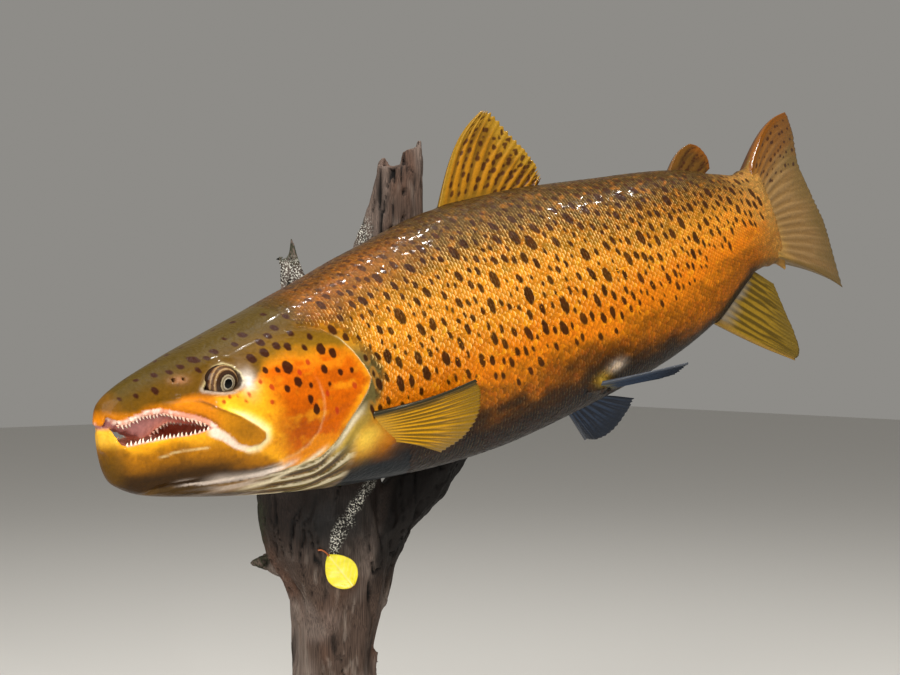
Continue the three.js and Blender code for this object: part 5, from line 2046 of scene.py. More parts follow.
# ---- what repeats
class Strewing:
    """Lays copies of a small form on points, each turned to its own lie, and makes them one mesh."""

    def __init__(self) -> None:
        """Build the node tree, with its sizes and seed as named inputs."""
        tree = bpy.data.node_groups.new("lay_copies", "GeometryNodeTree")
        face = tree.interface
        kinds = {"Geometry": "Geometry", "Form": "Object", "Length": "Float", "Width": "Float",
                 "Unevenness": "Float", "Seed": "Int", "Finish": "Material"}
        self.sockets = {
            name: face.new_socket(name, in_out="INPUT", socket_type="NodeSocket" + kind).identifier
            for name, kind in kinds.items()}
        face.new_socket("Geometry", in_out="OUTPUT", socket_type="NodeSocketGeometry")
        given = add(tree, "NodeGroupInput").outputs
        form = add(tree, "GeometryNodeObjectInfo", {"Object": given["Form"], "As Instance": False})
        lie, outward, size = (
            add(tree, "GeometryNodeInputNamedAttribute", {"Name": name},
                data_type="FLOAT_VECTOR").outputs["Attribute"]
            for name in ("lie", "outward", "size"))
        turned = add(tree, "FunctionNodeAlignRotationToVector", {"Vector": lie}, axis="X")
        raised = add(tree, "FunctionNodeAlignRotationToVector",
                     {"Rotation": turned.outputs[0], "Vector": outward}, axis="Z", pivot_axis="X")
        most = add(tree, "ShaderNodeCombineXYZ", {axis: given["Unevenness"] for axis in range(3)})
        least = add(tree, "ShaderNodeVectorMath", {0: most.outputs[0], 1: (-1, -1, -1)},
                    operation="MULTIPLY")
        chance = add(tree, "FunctionNodeRandomValue",
                     {"Min": least.outputs[0], "Max": most.outputs[0], "Seed": given["Seed"]},
                     data_type="FLOAT_VECTOR")
        shaken = add(tree, "FunctionNodeRotateRotation",
                     {"Rotation": raised.outputs[0],
                      "Rotate By": add(tree, "FunctionNodeEulerToRotation",
                                       {0: chance.outputs[0]}).outputs[0]},
                     rotation_space="LOCAL")
        stretch = add(tree, "ShaderNodeCombineXYZ", {0: given["Length"], 1: given["Width"], 2: 1.0})
        scaled = add(tree, "ShaderNodeVectorMath", {0: size, 1: stretch.outputs[0]}, operation="MULTIPLY")
        copies = add(tree, "GeometryNodeInstanceOnPoints",
                     {"Points": given["Geometry"], "Instance": form.outputs["Geometry"],
                      "Rotation": shaken.outputs[0], "Scale": scaled.outputs[0]})
        real = add(tree, "GeometryNodeRealizeInstances", {"Geometry": copies.outputs[0]})
        dressed = add(tree, "GeometryNodeSetMaterial",
                      {"Geometry": real.outputs[0], "Material": given["Finish"]})
        add(tree, "NodeGroupOutput", {0: dressed.outputs[0]})
        self.tree = tree

    def lay(self, name: str, form: bpy.types.Object, places: Array, lie: Array, outward: Array, size: Array,
            finish: bpy.types.Material, length: float = 1.0, width: float = 1.0, unevenness: float = 0.0,
            seed: int = 1) -> bpy.types.Object:
        """Lay the copies and make them one plain mesh.

        Args:
            name: The new piece's name.
            form: The form that is copied, along X, its outer face along Z.
            places: Where each copy's origin goes, in metres.
            lie: The direction that each copy's X takes.
            outward: The direction that its Z takes.
            size: Its size along X, Y and Z in metres.
            finish: Its material.
            length: Stretches all copies along X.
            width: Stretches them along Y.
            unevenness: The most that a copy is turned at random, in radians.
            seed: Chooses the random turns.

        Returns:
            The piece, whose vertices keep the attribute "number", the row that their copy came from.
        """
        points = build_mesh(name + "_points", places, [])
        for key, rows in (("lie", lie), ("outward", outward), ("size", size)):
            attribute = points.data.attributes.new(key, "FLOAT_VECTOR", "POINT")
            attribute.data.foreach_set("vector", np.asarray(rows, np.float32).ravel())
        numbers = points.data.attributes.new("number", "INT", "POINT")
        numbers.data.foreach_set("value", np.arange(len(places), dtype=np.int32))
        modifier = points.modifiers.new("lay", "NODES")
        modifier.node_group = self.tree
        given = {"Form": form, "Length": length, "Width": width, "Unevenness": unevenness, "Seed": seed,
                 "Finish": finish}
        for key, value in given.items():
            modifier[self.sockets[key]] = value
        mesh = evaluated_mesh(points)
        mesh.name = name
        for key in ("lie", "outward", "size"):
            if key in mesh.attributes:
                mesh.attributes.remove(mesh.attributes[key])
        return place_object(name, mesh)


def copy_numbers(mesh: bpy.types.Mesh) -> Array:
    """Give the row that each vertex's copy came from, and drop that attribute.

    Args:
        mesh: A mesh that Strewing.lay made.

    Returns:
        One row number for each vertex.
    """
    numbers = np.empty(len(mesh.vertices), np.int32)
    mesh.attributes["number"].data.foreach_get("value", numbers)
    mesh.attributes.remove(mesh.attributes["number"])
    return numbers


@dataclass
class ScaleCoat:
    """The scales of the trunk: overlapping plates in staggered rows from the gill covers to the tail."""

    fish: Fish = Fish()
    plan: HeadPlan = HeadPlan()
    around: int = 112
    first: float = 146.0
    last: float = 733.0
    tail_edge: float = 727.0  # how far back the coat reaches at mid height
    throat_edge: Straights = Straights((
        (-95, 262), (-70, 248), (-55, 232), (-40, 216), (0, 200), (40, 140)))  # by height
    unwrapped: float = 760.0  # the length of the coat when it is unwrapped
    pitch_least: float = 1.1
    pitch_share: float = 0.0040  # of the body's girth
    overlap: float = 1.95
    spread: float = 1.28
    thickness: float = 1.1
    tail_lift: float = 0.08
    bow: float = 0.10
    patch: float = 0.003

    def _plate(self) -> bpy.types.Object:
        """Make one scale a unit long and wide: a thin domed plate with a round rear edge.

        Returns:
            The plate, with its length as the attribute "rim".
        """
        rows, columns = 5, 4
        shares, across = np.linspace(0, 1, rows), np.linspace(-1, 1, columns)
        half = 0.5 * np.clip(1 - ((shares - 0.45) / 0.64) ** 4, 0.02, 1) ** 0.5
        points = []
        for share, wide in zip(shares, half):
            for place in across:
                swell = (1 - place * place) * (0.05 + 0.04 * share) + self.tail_lift * (share - 0.5) * 2
                points.append((share - 0.5 - self.bow * place * place * share, wide * place, 0.05 + swell))
        rim = sheet_rim(rows, columns)
        plate = build_mesh("scale_plate", np.array(points),
                           [*sheet_faces(rows, columns), rim[:1] + rim[:0:-1]])
        point_outwards(plate, merge=True)
        plate.data.set_sharp_from_angle(angle=1.2)
        x, y, _ = vertex_points(plate.data).T
        put(plate.data, "rim", np.clip(x + 0.5 + self.bow * (y / 0.5) ** 2, 0, 1))
        return plate

    def _roots(self, clay: Clay) -> dict[str, Array]:
        """Find where each scale is rooted, its directions and its size, in fish coordinates.

        Args:
            clay: The form on its grid.

        Returns:
            Points, directions, sizes and places on the unwrapped coat, one row each.
        """
        body = self.fish.body
        stations = [self.first]
        while stations[-1] < self.last:
            x = np.array(stations[-1])
            girth = np.pi * float(body.half_width(x) + (body.back(x) - body.belly(x)) / 2)
            stations.append(stations[-1] + self.pitch_least + self.pitch_share * girth)
        stations = np.array(stations)
        x, turn = np.meshgrid(stations, np.arange(self.around) + 0.0, indexing="ij")
        turn = turn + 0.5 * (np.arange(len(stations)) % 2)[:, None]
        angle = 2 * np.pi * turn / self.around
        pitch = np.broadcast_to(np.gradient(stations)[:, None], x.shape)
        girth = np.pi * (body.half_width(x) + (body.back(x) - body.belly(x)) / 2)
        y, z = body.ring(x, angle)
        points = np.stack([x, y, z], -1).reshape(-1, 3)
        keep = self._covered(points)
        unwrap = np.stack([x / self.unwrapped, turn / self.around], -1).reshape(-1, 2)[keep]
        size = np.stack([pitch, girth / self.around, girth * 0 + self.thickness], -1).reshape(-1, 3)[keep]
        size = size * self._growth(points[keep])[:, None]
        points, outward = self._rest_on(clay, points[keep])
        inside = points[:, 0] < self.tail_edge + 5 * np.cos(points[:, 2] / 14)
        lie = np.array([1.0, 0, 0]) - outward * outward[:, :1]
        lie /= np.linalg.norm(lie, axis=1, keepdims=True)
        found = {"points": points, "outward": outward, "lie": lie, "size": size, "unwrap": unwrap}
        return {key: rows[inside] for key, rows in found.items()}

    def _growth(self, points: Array) -> Array:
        """Give how full-grown the scales are: small and fine where the coat starts.

        Args:
            points: Fish coordinates, one row each.

        Returns:
            Shares of the full size.
        """
        x, _, z = points.T
        behind = ease(8, 34, self.plan.head_side(x, z)) * (z < 40)
        return 0.5 + 0.5 * np.maximum(behind, ease(148, 190, x + 0.5 * (z - 45)))

    def _covered(self, points: Array) -> Array:
        """Tell which places carry scales: the trunk behind the gill covers and the nape.

        Args:
            points: Fish coordinates, one row each.

        Returns:
            True where they do.
        """
        x, _, z = points.T
        behind = (self.plan.head_side(x, z) > 9) | (z > 37)
        nape = x + (z - 45) * 0.55 > 152
        return behind & nape & (x > self.throat_edge(z))

    @staticmethod
    def _rest_on(clay: Clay, points: Array) -> tuple[Array, Array]:
        """Move points onto the clay's surface and give its outward direction there.

        Args:
            clay: The form on its grid.
            points: Fish coordinates, one row each.

        Returns:
            The points on the surface and the directions.
        """
        flip = np.ones_like(points)
        flip[:, 1] = np.sign(points[:, 1] + 1e-9)
        at = points * flip
        axes = (clay.x, clay.y, clay.z)

        def read(places: Array) -> Array:
            """Read the clay at places of the right half.

            Args:
                places: Fish coordinates, one row each.

            Returns:
                The distance at each place.
            """
            folded = (places[:, 0], np.abs(places[:, 1]), places[:, 2])
            grid = [np.interp(at, axis, np.arange(len(axis))) for at, axis in zip(folded, axes)]
            return clay.read(clay.values, np.stack(grid, 1))

        for _ in range(4):
            slope = np.stack([(read(at + step) - read(at - step)) / 3 for step in 1.5 * np.eye(3)], 1)
            slope /= np.maximum(np.linalg.norm(slope, axis=1, keepdims=True), 1e-6)
            at = at - slope * np.clip(read(at), -6, 6)[:, None]
        return at * flip, slope * flip

    def build(self, clay: Clay, strewing: Strewing, markings: Markings,
              finish: PearlScale) -> list[bpy.types.Object]:
        """Make the coat in pieces of a side and a third of the length each.

        Args:
            clay: The skin's form, which the scales lie on.
            strewing: Lays the copies.
            markings: Colours them.
            finish: Their material.

        Returns:
            The finished pieces.
        """
        plate, material = self._plate(), finish.material()
        roots = self._roots(clay)
        along = roots["points"][:, 0]
        first, second = np.quantile(along, (1 / 3, 2 / 3))
        thirds = {"front": along <= first, "middle": (along > first) & (along <= second),
                  "rear": along > second}
        made = []
        for side in Side:
            for part, chosen in thirds.items():
                here = chosen & (np.where(roots["points"][:, 1] < 0, -1, 1) == side.value)
                part_roots = {key: rows[here] for key, rows in roots.items()}
                made.append(self._piece(f"scales_{side.label}_{part}", part_roots, plate, material,
                                        strewing, markings))
        bpy.data.objects.remove(plate)
        return made

    def _piece(self, name: str, roots: dict[str, Array], plate: bpy.types.Object,
               material: bpy.types.Material,
               strewing: Strewing, markings: Markings) -> bpy.types.Object:
        """Lay one piece of the coat, then mark it and unwrap it.

        Args:
            name: The piece's name.
            roots: What _roots found for its scales.
            plate: One scale.
            material: Its finish.
            strewing: Lays the copies.
            markings: Colours them.

        Returns:
            The finished piece.
        """
        spine = self.fish.spine
        axes = spine.axes(roots["points"][:, 0])
        lie, outward = (sum(axes[k] * roots[key][:, k:k + 1] for k in range(3))
                        for key in ("lie", "outward"))
        places = spine.place(roots["points"])
        piece = strewing.lay(name, plate, places, lie, outward, roots["size"] * MM, material,
                             length=self.overlap, width=self.spread, unevenness=0.07, seed=5)
        numbers = copy_numbers(piece.data)
        put(piece.data, "tint", np.random.default_rng(8).random(len(places))[numbers])
        put(piece.data, "gleam", markings.gleam(roots["points"])[numbers])
        offset = vertex_points(piece.data) - places[numbers]
        local = np.stack([np.sum(offset * axis[numbers], axis=1) for axis in axes], 1) / MM
        markings.paint(piece.data, roots["points"][numbers] + local)
        across = np.cross(outward, lie)
        flat = np.stack([np.sum(offset * lie[numbers], axis=1) / roots["size"][numbers, 0],
                         np.sum(offset * across[numbers], axis=1) / roots["size"][numbers, 1]], 1) / MM
        patch = roots["unwrap"][numbers] + self.patch * flat / (self.overlap, self.spread)
        corners = np.empty(len(piece.data.loops), np.int32)
        piece.data.loops.foreach_get("vertex_index", corners)
        unwrap = piece.data.uv_layers.new(name="OFBake")
        unwrap.data.foreach_set("uv", np.clip(patch[corners], 0, 1).astype(np.float32).ravel())
        return dress(piece, None, "scaled_skin")


# ---- eyes, teeth and tongue
@dataclass(frozen=True)
class Eyes:
    """The two glass eyes, each a flattened ball set in its socket."""

    fish: Fish = Fish()
    centre: tuple[float, float] = (84.4, 8.2)
    pupil: tuple[float, float] = (84.5, 6.3)
    radii: tuple[float, float, float] = (14.2, 8.2, 11.4)
    sunk: float = 5.9
    rings: int = 40
    spokes: int = 64

    def build(self, side: Side, finish: bpy.types.Material) -> bpy.types.Object:
        """Make one eye.

        Args:
            side: Which eye.
            finish: Its glass.

        Returns:
            The finished piece.
        """
        x, z = (np.array(value) for value in self.centre)
        out = float(self.fish.body.flank(x, z)) - self.sunk
        fall, turn = np.meshgrid(np.linspace(0, np.pi, self.rings), round_angles(self.spokes),
                                 indexing="ij")
        ball = np.stack([np.sin(fall) * np.cos(turn), np.cos(fall), np.sin(fall) * np.sin(turn)], -1)
        ball = ball.reshape(-1, 3)
        points = ball * self.radii + (self.centre[0], out, self.centre[1])
        points[:, 1] *= side.value
        piece = build_mesh(f"glass_eye_{side.label}", self.fish.spine.place(points),
                           sheet_faces(self.rings, self.spokes, closed=True))
        iris = np.hypot(points[:, 0] - self.pupil[0], points[:, 2] - self.pupil[1])
        put(piece.data, "iris", iris + 8 * ease(0.3, -0.1, ball[:, 1]))
        point_outwards(piece, merge=True)
        return dress(piece, finish, "glass_eye", f"eye_{side.label}")


@dataclass(frozen=True)
class Teeth:
    """The rows of small hooked teeth on both jaws and the palate."""

    skin: TroutSkin
    long: float = 4.3
    thick: float = 2.5
    upper_row: tuple[float, float, int] = (10, 66, 24)  # from, to and how many teeth on each side
    lower_row: tuple[float, float, int] = (14, 68, 21)
    roof_row: tuple[float, float, int] = (36, 86, 18)
    roof_out: float = 9.0
    seed: int = 4

    def _tooth(self) -> bpy.types.Object:
        """Make one tooth a unit tall, wide at the gum and hooked backwards.

        Returns:
            The tooth, with its height as the attribute "rim".
        """
        rows, columns = 6, 7
        points = []
        for share in np.linspace(0, 1, rows):
            half = 0.5 * (1 - share) ** 0.9 + 0.04
            for turn in round_angles(columns):
                hooked = half * np.cos(turn) + 0.55 * share * share
                points.append((hooked, half * np.sin(turn), share - 0.15))
        faces = sheet_faces(rows, columns, closed=True, capped=True)
        tooth = build_mesh("tooth_form", np.array(points), faces)
        point_outwards(tooth, merge=True)
        put(tooth.data, "rim", vertex_points(tooth.data)[:, 2])
        return tooth

    def _rows(self) -> list[tuple[Array, Array, Array, float]]:
        """List the rows: lengths, distances out and heights of their roots, and which way they point.

        Returns:
            One tuple for each row.
        """
        skin = self.skin
        upper, lower, roof = (np.linspace(*row) for row in (self.upper_row, self.lower_row, self.roof_row))
        out_up, z_up = skin.gum(True, upper)
        out_low, z_low = skin.gum(False, lower)
        return [(upper, out_up, z_up - 3.6, -1.0), (lower, out_low, z_low + 0.3, 1.0),
                (roof, np.full_like(roof, self.roof_out), skin.palate(roof) + 0.6, -1.0)]

    def build(self, strewing: Strewing, finish: bpy.types.Material) -> bpy.types.Object:
        """Make all the teeth as one piece.

        Args:
            strewing: Lays the copies.
            finish: Their enamel.

        Returns:
            The finished piece.
        """
        rng = np.random.default_rng(self.seed)
        points, turned, sizes = [], [], []
        for x, out, z, way in self._rows():
            for side in Side:
                points.append(np.stack([x, side.value * out, z], 1))
                lean = rng.normal(0, 0.12, (len(x), 3))
                turned.append(np.stack([0.25 + 0 * x, -0.2 * side.value + 0 * x, way + 0 * x], 1) + lean)
                long = self.long * rng.uniform(0.55, 1.1, len(x)) * (0.9 if way > 0 else 1.0)
                deep = self.thick * rng.uniform(0.8, 1.3, len(x))
                sizes.append(np.stack([deep, 0 * x + self.thick, long], 1))
        points, turned, sizes = np.vstack(points), np.vstack(turned), np.vstack(sizes)
        axes = self.skin.fish.spine.axes(points[:, 0])
        upward = sum(axes[k] * turned[:, k:k + 1] for k in range(3))
        tooth = self._tooth()
        piece = strewing.lay("teeth", tooth, self.skin.fish.spine.place(points), axes[0], upward,
                             sizes * MM, finish)
        piece.data.attributes.remove(piece.data.attributes["number"])
        bpy.data.objects.remove(tooth)
        return dress(piece, None, "")


@dataclass(frozen=True)
class Tongue:
    """The tongue: a soft tapering pad with a groove along it."""

    fish: Fish = Fish()
    start: float = 35.5
    end: float = 93.0
    half: float = 9.2
    top: float = -27.2
    thick: float = 5.0

    def build(self, finish: bpy.types.Material) -> bpy.types.Object:
        """Make the tongue.

        Args:
            finish: Its wet flesh.

        Returns:
            The finished piece.
        """
        rows, columns = 40, 32
        share, turn = np.meshgrid(np.linspace(0, 1, rows), round_angles(columns), indexing="ij")
        round_end = np.sqrt(np.clip(1 - (1 - np.minimum(1, share / 0.16)) ** 2, 0.001, 1))
        round_end = round_end * np.sqrt(np.clip(1 - np.clip((share - 0.93) / 0.07, 0, 1) ** 2, 0.001, 1))
        belly = np.sin(np.pi * np.minimum(1, share * 0.85 + 0.12)) ** 0.5
        wide = self.half * (0.42 + 0.58 * belly) * round_end
        across = np.cos(turn) * wide
        groove = 0.9 * bump(across, 1.6) * (np.sin(turn) > 0)
        up = self.top - self.thick / 2 + np.sin(turn) * self.thick / 2 * round_end - groove
        along = self.start + share * (self.end - self.start)
        points = np.stack([along, across, up + 0.2 * np.sin(9 * share)], -1)
        faces = sheet_faces(rows, columns, closed=True, capped=True)
        piece = build_mesh("tongue_flesh", self.fish.spine.place(points.reshape(-1, 3)), faces)
        point_outwards(piece, merge=True)
        return dress(piece, finish, "mouth_flesh", "tongue")


# ---- fins
@dataclass(frozen=True)
class FinPaint:
    """The colours of one fin, as sRGB hex values, and its rows of spots."""

    ridge: str
    groove: str
    lead: str
    root: str
    tip: str
    spot: str = "#33230f"
    spots: int = 0
    spot_size: float = 2.0
    streak: float = 0.5
    lead_reach: float = 0.1
    spot_reach: float = 0.97


@dataclass(frozen=True)
class Fin:
    """One fin: a thin web over branching rays, between its root and its outer edge.

    base and edge are lines of fish coordinates from the front of the fin to its rear; lift and puff
    bow the sheet up and out between them.
    """

    name: str
    slot: str
    base: Triples
    edge: Triples
    rays: int
    root: float
    paint: FinPaint
    lift: tuple[float, float, float] = (0, 0, 0)
    puff: float = 0.0
    side: int = 1
    rim: float = 0.8
    web: float = 0.45
    pleat: float = 0.7
    fray: float = 1.6
    wave: float = 1.2
    branch_at: float = 0.45
    columns_per_ray: int = 8
    rows: int = 44
    fish: Fish = Fish()

    def _middle(self, s: Array, v: Array) -> Array:
        """Give the sheet's middle at shares along the fin and out to its edge.

        Args:
            s: Shares along the fin, from its front.
            v: Shares out from its root.

        Returns:
            Fish coordinates, along the last axis.
        """
        at = np.linspace(0, 1, 400)
        base, edge = (
            np.stack([np.interp(s, at, place) for place in catmull(line, len(at)).T], -1)
            for line in (self.base, self.edge))
        lift = np.sin(np.pi * v)[..., None]
        out = base + (edge - base) * v[..., None] + np.array(self.lift) * lift * (1 - s[..., None]) ** 2
        out[..., 1] += self.puff * lift[..., 0]
        out[..., 1] *= self.side
        return out

    def build(self, finish: bpy.types.Material) -> bpy.types.Object:
        """Make the fin.

        Args:
            finish: Its varnished membrane.

        Returns:
            The finished piece.
        """
        columns = self.rays * self.columns_per_ray + 1
        s, v = np.meshgrid(np.linspace(0, 1, columns), np.linspace(0, 1, self.rows), indexing="ij")
        s, v = s.T, v.T
        rng = np.random.default_rng(len(self.name) * 7 + self.rays)
        phase = s * self.rays - 0.5
        single = 0.5 + 0.5 * np.cos(2 * np.pi * phase)
        double = 0.5 - 0.5 * np.cos(4 * np.pi * (phase - 0.25))
        split = ease(self.branch_at, self.branch_at + 0.25, v)
        ridge = single * (1 - split) + split * (0.35 * single + 0.65 * double)
        lead = np.maximum(ease(0.05, 0.0, s), 0)
        length = np.linalg.norm(self._middle(s[0], 0 * v[0] + 1) - self._middle(s[0], 0 * v[0]), axis=-1)
        torn = rng.random(self.rays + 2)[np.clip((s[0] * self.rays + 1).astype(int), 0, self.rays + 1)]
        short = self.fray * (0.35 + 1.2 * (1 - double[-1]) * torn) * (s[0] > 0.04) / length
        reach = v * (1 - short[None, :] * ease(0.5, 1, v))
        middle = self._middle(s, reach)
        along, outward = np.gradient(middle, axis=1), np.gradient(middle, axis=0)
        normal = np.cross(along, outward)
        normal /= np.maximum(np.linalg.norm(normal, axis=-1, keepdims=True), 1e-6)
        taper = self.rim + (self.root - self.rim) * (1 - v) ** 2
        share = self.web + (1 - self.web) * ridge
        share = share + (1 - share) * (1 - v) ** 5
        thick = taper * np.maximum(share, lead)
        joints = 0.06 * np.sin(2 * np.pi * v * length[None, :] / 3.2) * ridge * ease(0.2, 0.5, v)
        fold = self.pleat * (ridge - 0.5) * ease(0.05, 0.5, v) * (1 - lead)
        slow = self.wave * v * v * np.sin(2 * np.pi * (1.3 * s + 0.35)) * (1 - lead)
        middle = middle + normal * (fold + slow)[..., None]
        points, faces = double_sheet(
            *(middle + normal * (sign * (thick / 2 + joints))[..., None] for sign in (1, -1)))
        piece = build_mesh(self.name + "_webbed", self.fish.spine.place(points), faces)
        colour, spot = self._pattern(s, v, ridge, lead, length, rng)
        put(piece.data, "pigment", np.tile(colour.reshape(-1, 3), (2, 1)))
        put(piece.data, "spot", np.tile(spot.ravel(), 2))
        put(piece.data, "fade", np.full(len(points), 0.15))
        put(piece.data, "red_spot", np.full(len(points), NO_SPOT))
        point_outwards(piece)
        return dress(piece, finish, self.slot, self.name)

    def _pattern(self, s: Array, v: Array, ridge: Array, lead: Array, length: Array,
                 rng: np.random.Generator) -> tuple[Array, Array]:
        """Give the fin's colours and the distance to its spots.

        Args:
            s: Shares along the fin.
            v: Shares out from its root.
            ridge: Where the rays stand out.
            lead: Where the stiff front edge is.
            length: The fin's length at each column.
            rng: Draws the spots.

        Returns:
            The colours and the distances.
        """
        paint = self.paint
        place = np.stack([s * self.rays * 1.4, v * 3.0, 0 * s + self.rays], -1).reshape(-1, 3)
        cloud = rough_noise(place, self.rays, 3).reshape(s.shape)
        streak = lattice_noise(place * (3.5, 1.6, 1), self.rays + 5).reshape(s.shape)
        coats = Paint(s.shape, paint.groove)
        # Rays lighter than the web: partly the rays' own colour, partly painted highlight on the pleats'
        # ridges and painted shade in their grooves.
        coats.lay(paint.ridge, ease(0.25, 0.8, ridge + 0.25 * cloud + paint.streak * 0.3 * streak))
        coats.lay(paint.tip, ease(0.55, 1.0, v + 0.12 * cloud))
        coats.lay(paint.root, ease(0.22, 0.0, v + 0.05 * cloud))
        coats.lay(paint.lead,
                  lead + 0.75 * ease(paint.lead_reach, 0.3 * paint.lead_reach, s + 0.06 * cloud))
        coats.lay(paint.tip, 0.85 * ease(0.93, 0.99, s + 0.03 * cloud))
        gap = np.full(s.shape, NO_SPOT)
        across = np.linalg.norm(np.diff(self._middle(np.array([0.0, 1.0]), np.array([0.6, 0.6])), axis=0))
        lines = max(1, round(paint.spot_reach * self.rays))
        for number in range(paint.spots):
            at = (number % lines + 1 + rng.uniform(-0.24, 0.24)) / self.rays
            out = 0.1 + 0.82 * (number // lines + rng.uniform(0, 1)) / (paint.spots / lines)
            size = paint.spot_size * rng.uniform(0.6, 1.2)
            reach = np.hypot((s - at) * across / 0.75, (v - out) * length[None, :] / 1.3)
            gap = np.minimum(gap, reach - size)
        return coats.colour, gap


def trout_fins() -> list[Fin]:
    """List the eight fins with their outlines and colours.

    Returns:
        The fins, ready to build.
    """
    gold = FinPaint("#a26c0e", "#6f4c0c", "#8f6a18", "#7d5a12", "#96701a", "#431b08", 118, 2.1)
    brown = FinPaint("#5c3d12", "#4a3010", "#6a4414", "#57381a", "#74430f", "#33200c", 56, 1.1)
    tail = FinPaint("#907043", "#816134", "#744200", "#b08642", "#6d5526", "#2b1d0c", 40, 2.3,
                    lead_reach=0.34, spot_reach=0.3)
    olive = FinPaint("#8a6c1a", "#52400e", "#8a6a2c", "#8f8474", "#6b561c", streak=1.2)
    pectoral = FinPaint("#d49a10", "#7d5d10", "#302c1c", "#b98a22", "#94700f", lead_reach=0.16)
    # The pelvic fins are painted blue-black: painted shade on fins that face down, with a painted blue
    # reflection and a grey painted highlight along the leading edge.
    blue = FinPaint("#27364c", "#0e1624", "#4a4e56", "#6b6238", "#131c2a")
    pelvic_base = ((436, 31, -77), (443, 27, -80.5), (452, 22, -84.5))
    pectoral_base = ((198, 52, -34), (214, 50, -46), (229, 44, -59))
    pectoral_edge = ((303, 67, -31.5), (310, 62, -43), (310, 55, -56), (296, 47, -72), (277, 38, -82))
    fins = [
        Fin("dorsal_fin", "golden_fin", ((357, 0, 98), (410, 0, 98), (462, 0, 91)),
            ((437, 0, 171), (447, 0, 170), (459, 0, 150), (469, 0, 129), (475, 0, 113), (477, 0, 103)),
            11, 4.2, gold, lift=(0, 0, 13), pleat=1.0, wave=1.5, fray=4.5),
        Fin("adipose_fin", "adipose_skin", ((607, 0, 67), (626, 0, 62), (645, 0, 55)),
            ((646, 0, 87.5), (656, 0, 82), (661, 0, 70), (660, 0, 60)),
            4, 6, brown, lift=(0, 0, 5), rim=1.8, web=0.92, pleat=0.1, fray=0.3, wave=0.4,
            columns_per_ray=12),
        Fin("anal_fin", "golden_fin", ((596, 0, -70), (632, 0, -55), (666, 0, -40)),
            ((686, 0, -136), (695, 0, -132), (699.5, 0, -112), (697.5, 0, -88), (692, 0, -62)),
            10, 4, olive, lift=(0, 0, -4), pleat=1.0),
        Fin("tail_fin", "golden_fin", ((704.4, 0, 46), (704.4, 0, 3), (704.4, 0, -40)),
            ((806, 0, 93), (812, 0, 70), (806, 0, 40), (815, 0, 6), (824, 0, -22), (827, 0, -50),
             (832, 0, -91)),
            16, 17, tail, lift=(0, 0, 12), web=0.82, pleat=0.1, fray=2.4)]
    fins += [
        Fin(f"pectoral_fin_{side.label}", "golden_fin", pectoral_base, pectoral_edge,
            12, 4.4, pectoral, lift=(0, 3, 0), puff=7, side=side.value) for side in Side]
    return fins + [
        Fin("pelvic_fin_left", "dark_fin", pelvic_base,
            ((511, 60, -88), (513, 54, -91), (506, 46, -93), (494, 39, -94)), 8, 4, blue, side=-1),
        Fin("pelvic_fin_right", "dark_fin", pelvic_base,
            ((470, 68, -132), (477, 58, -134), (486, 42, -130), (494, 24, -118), (498, 13, -107)), 8, 4,
            blue)]


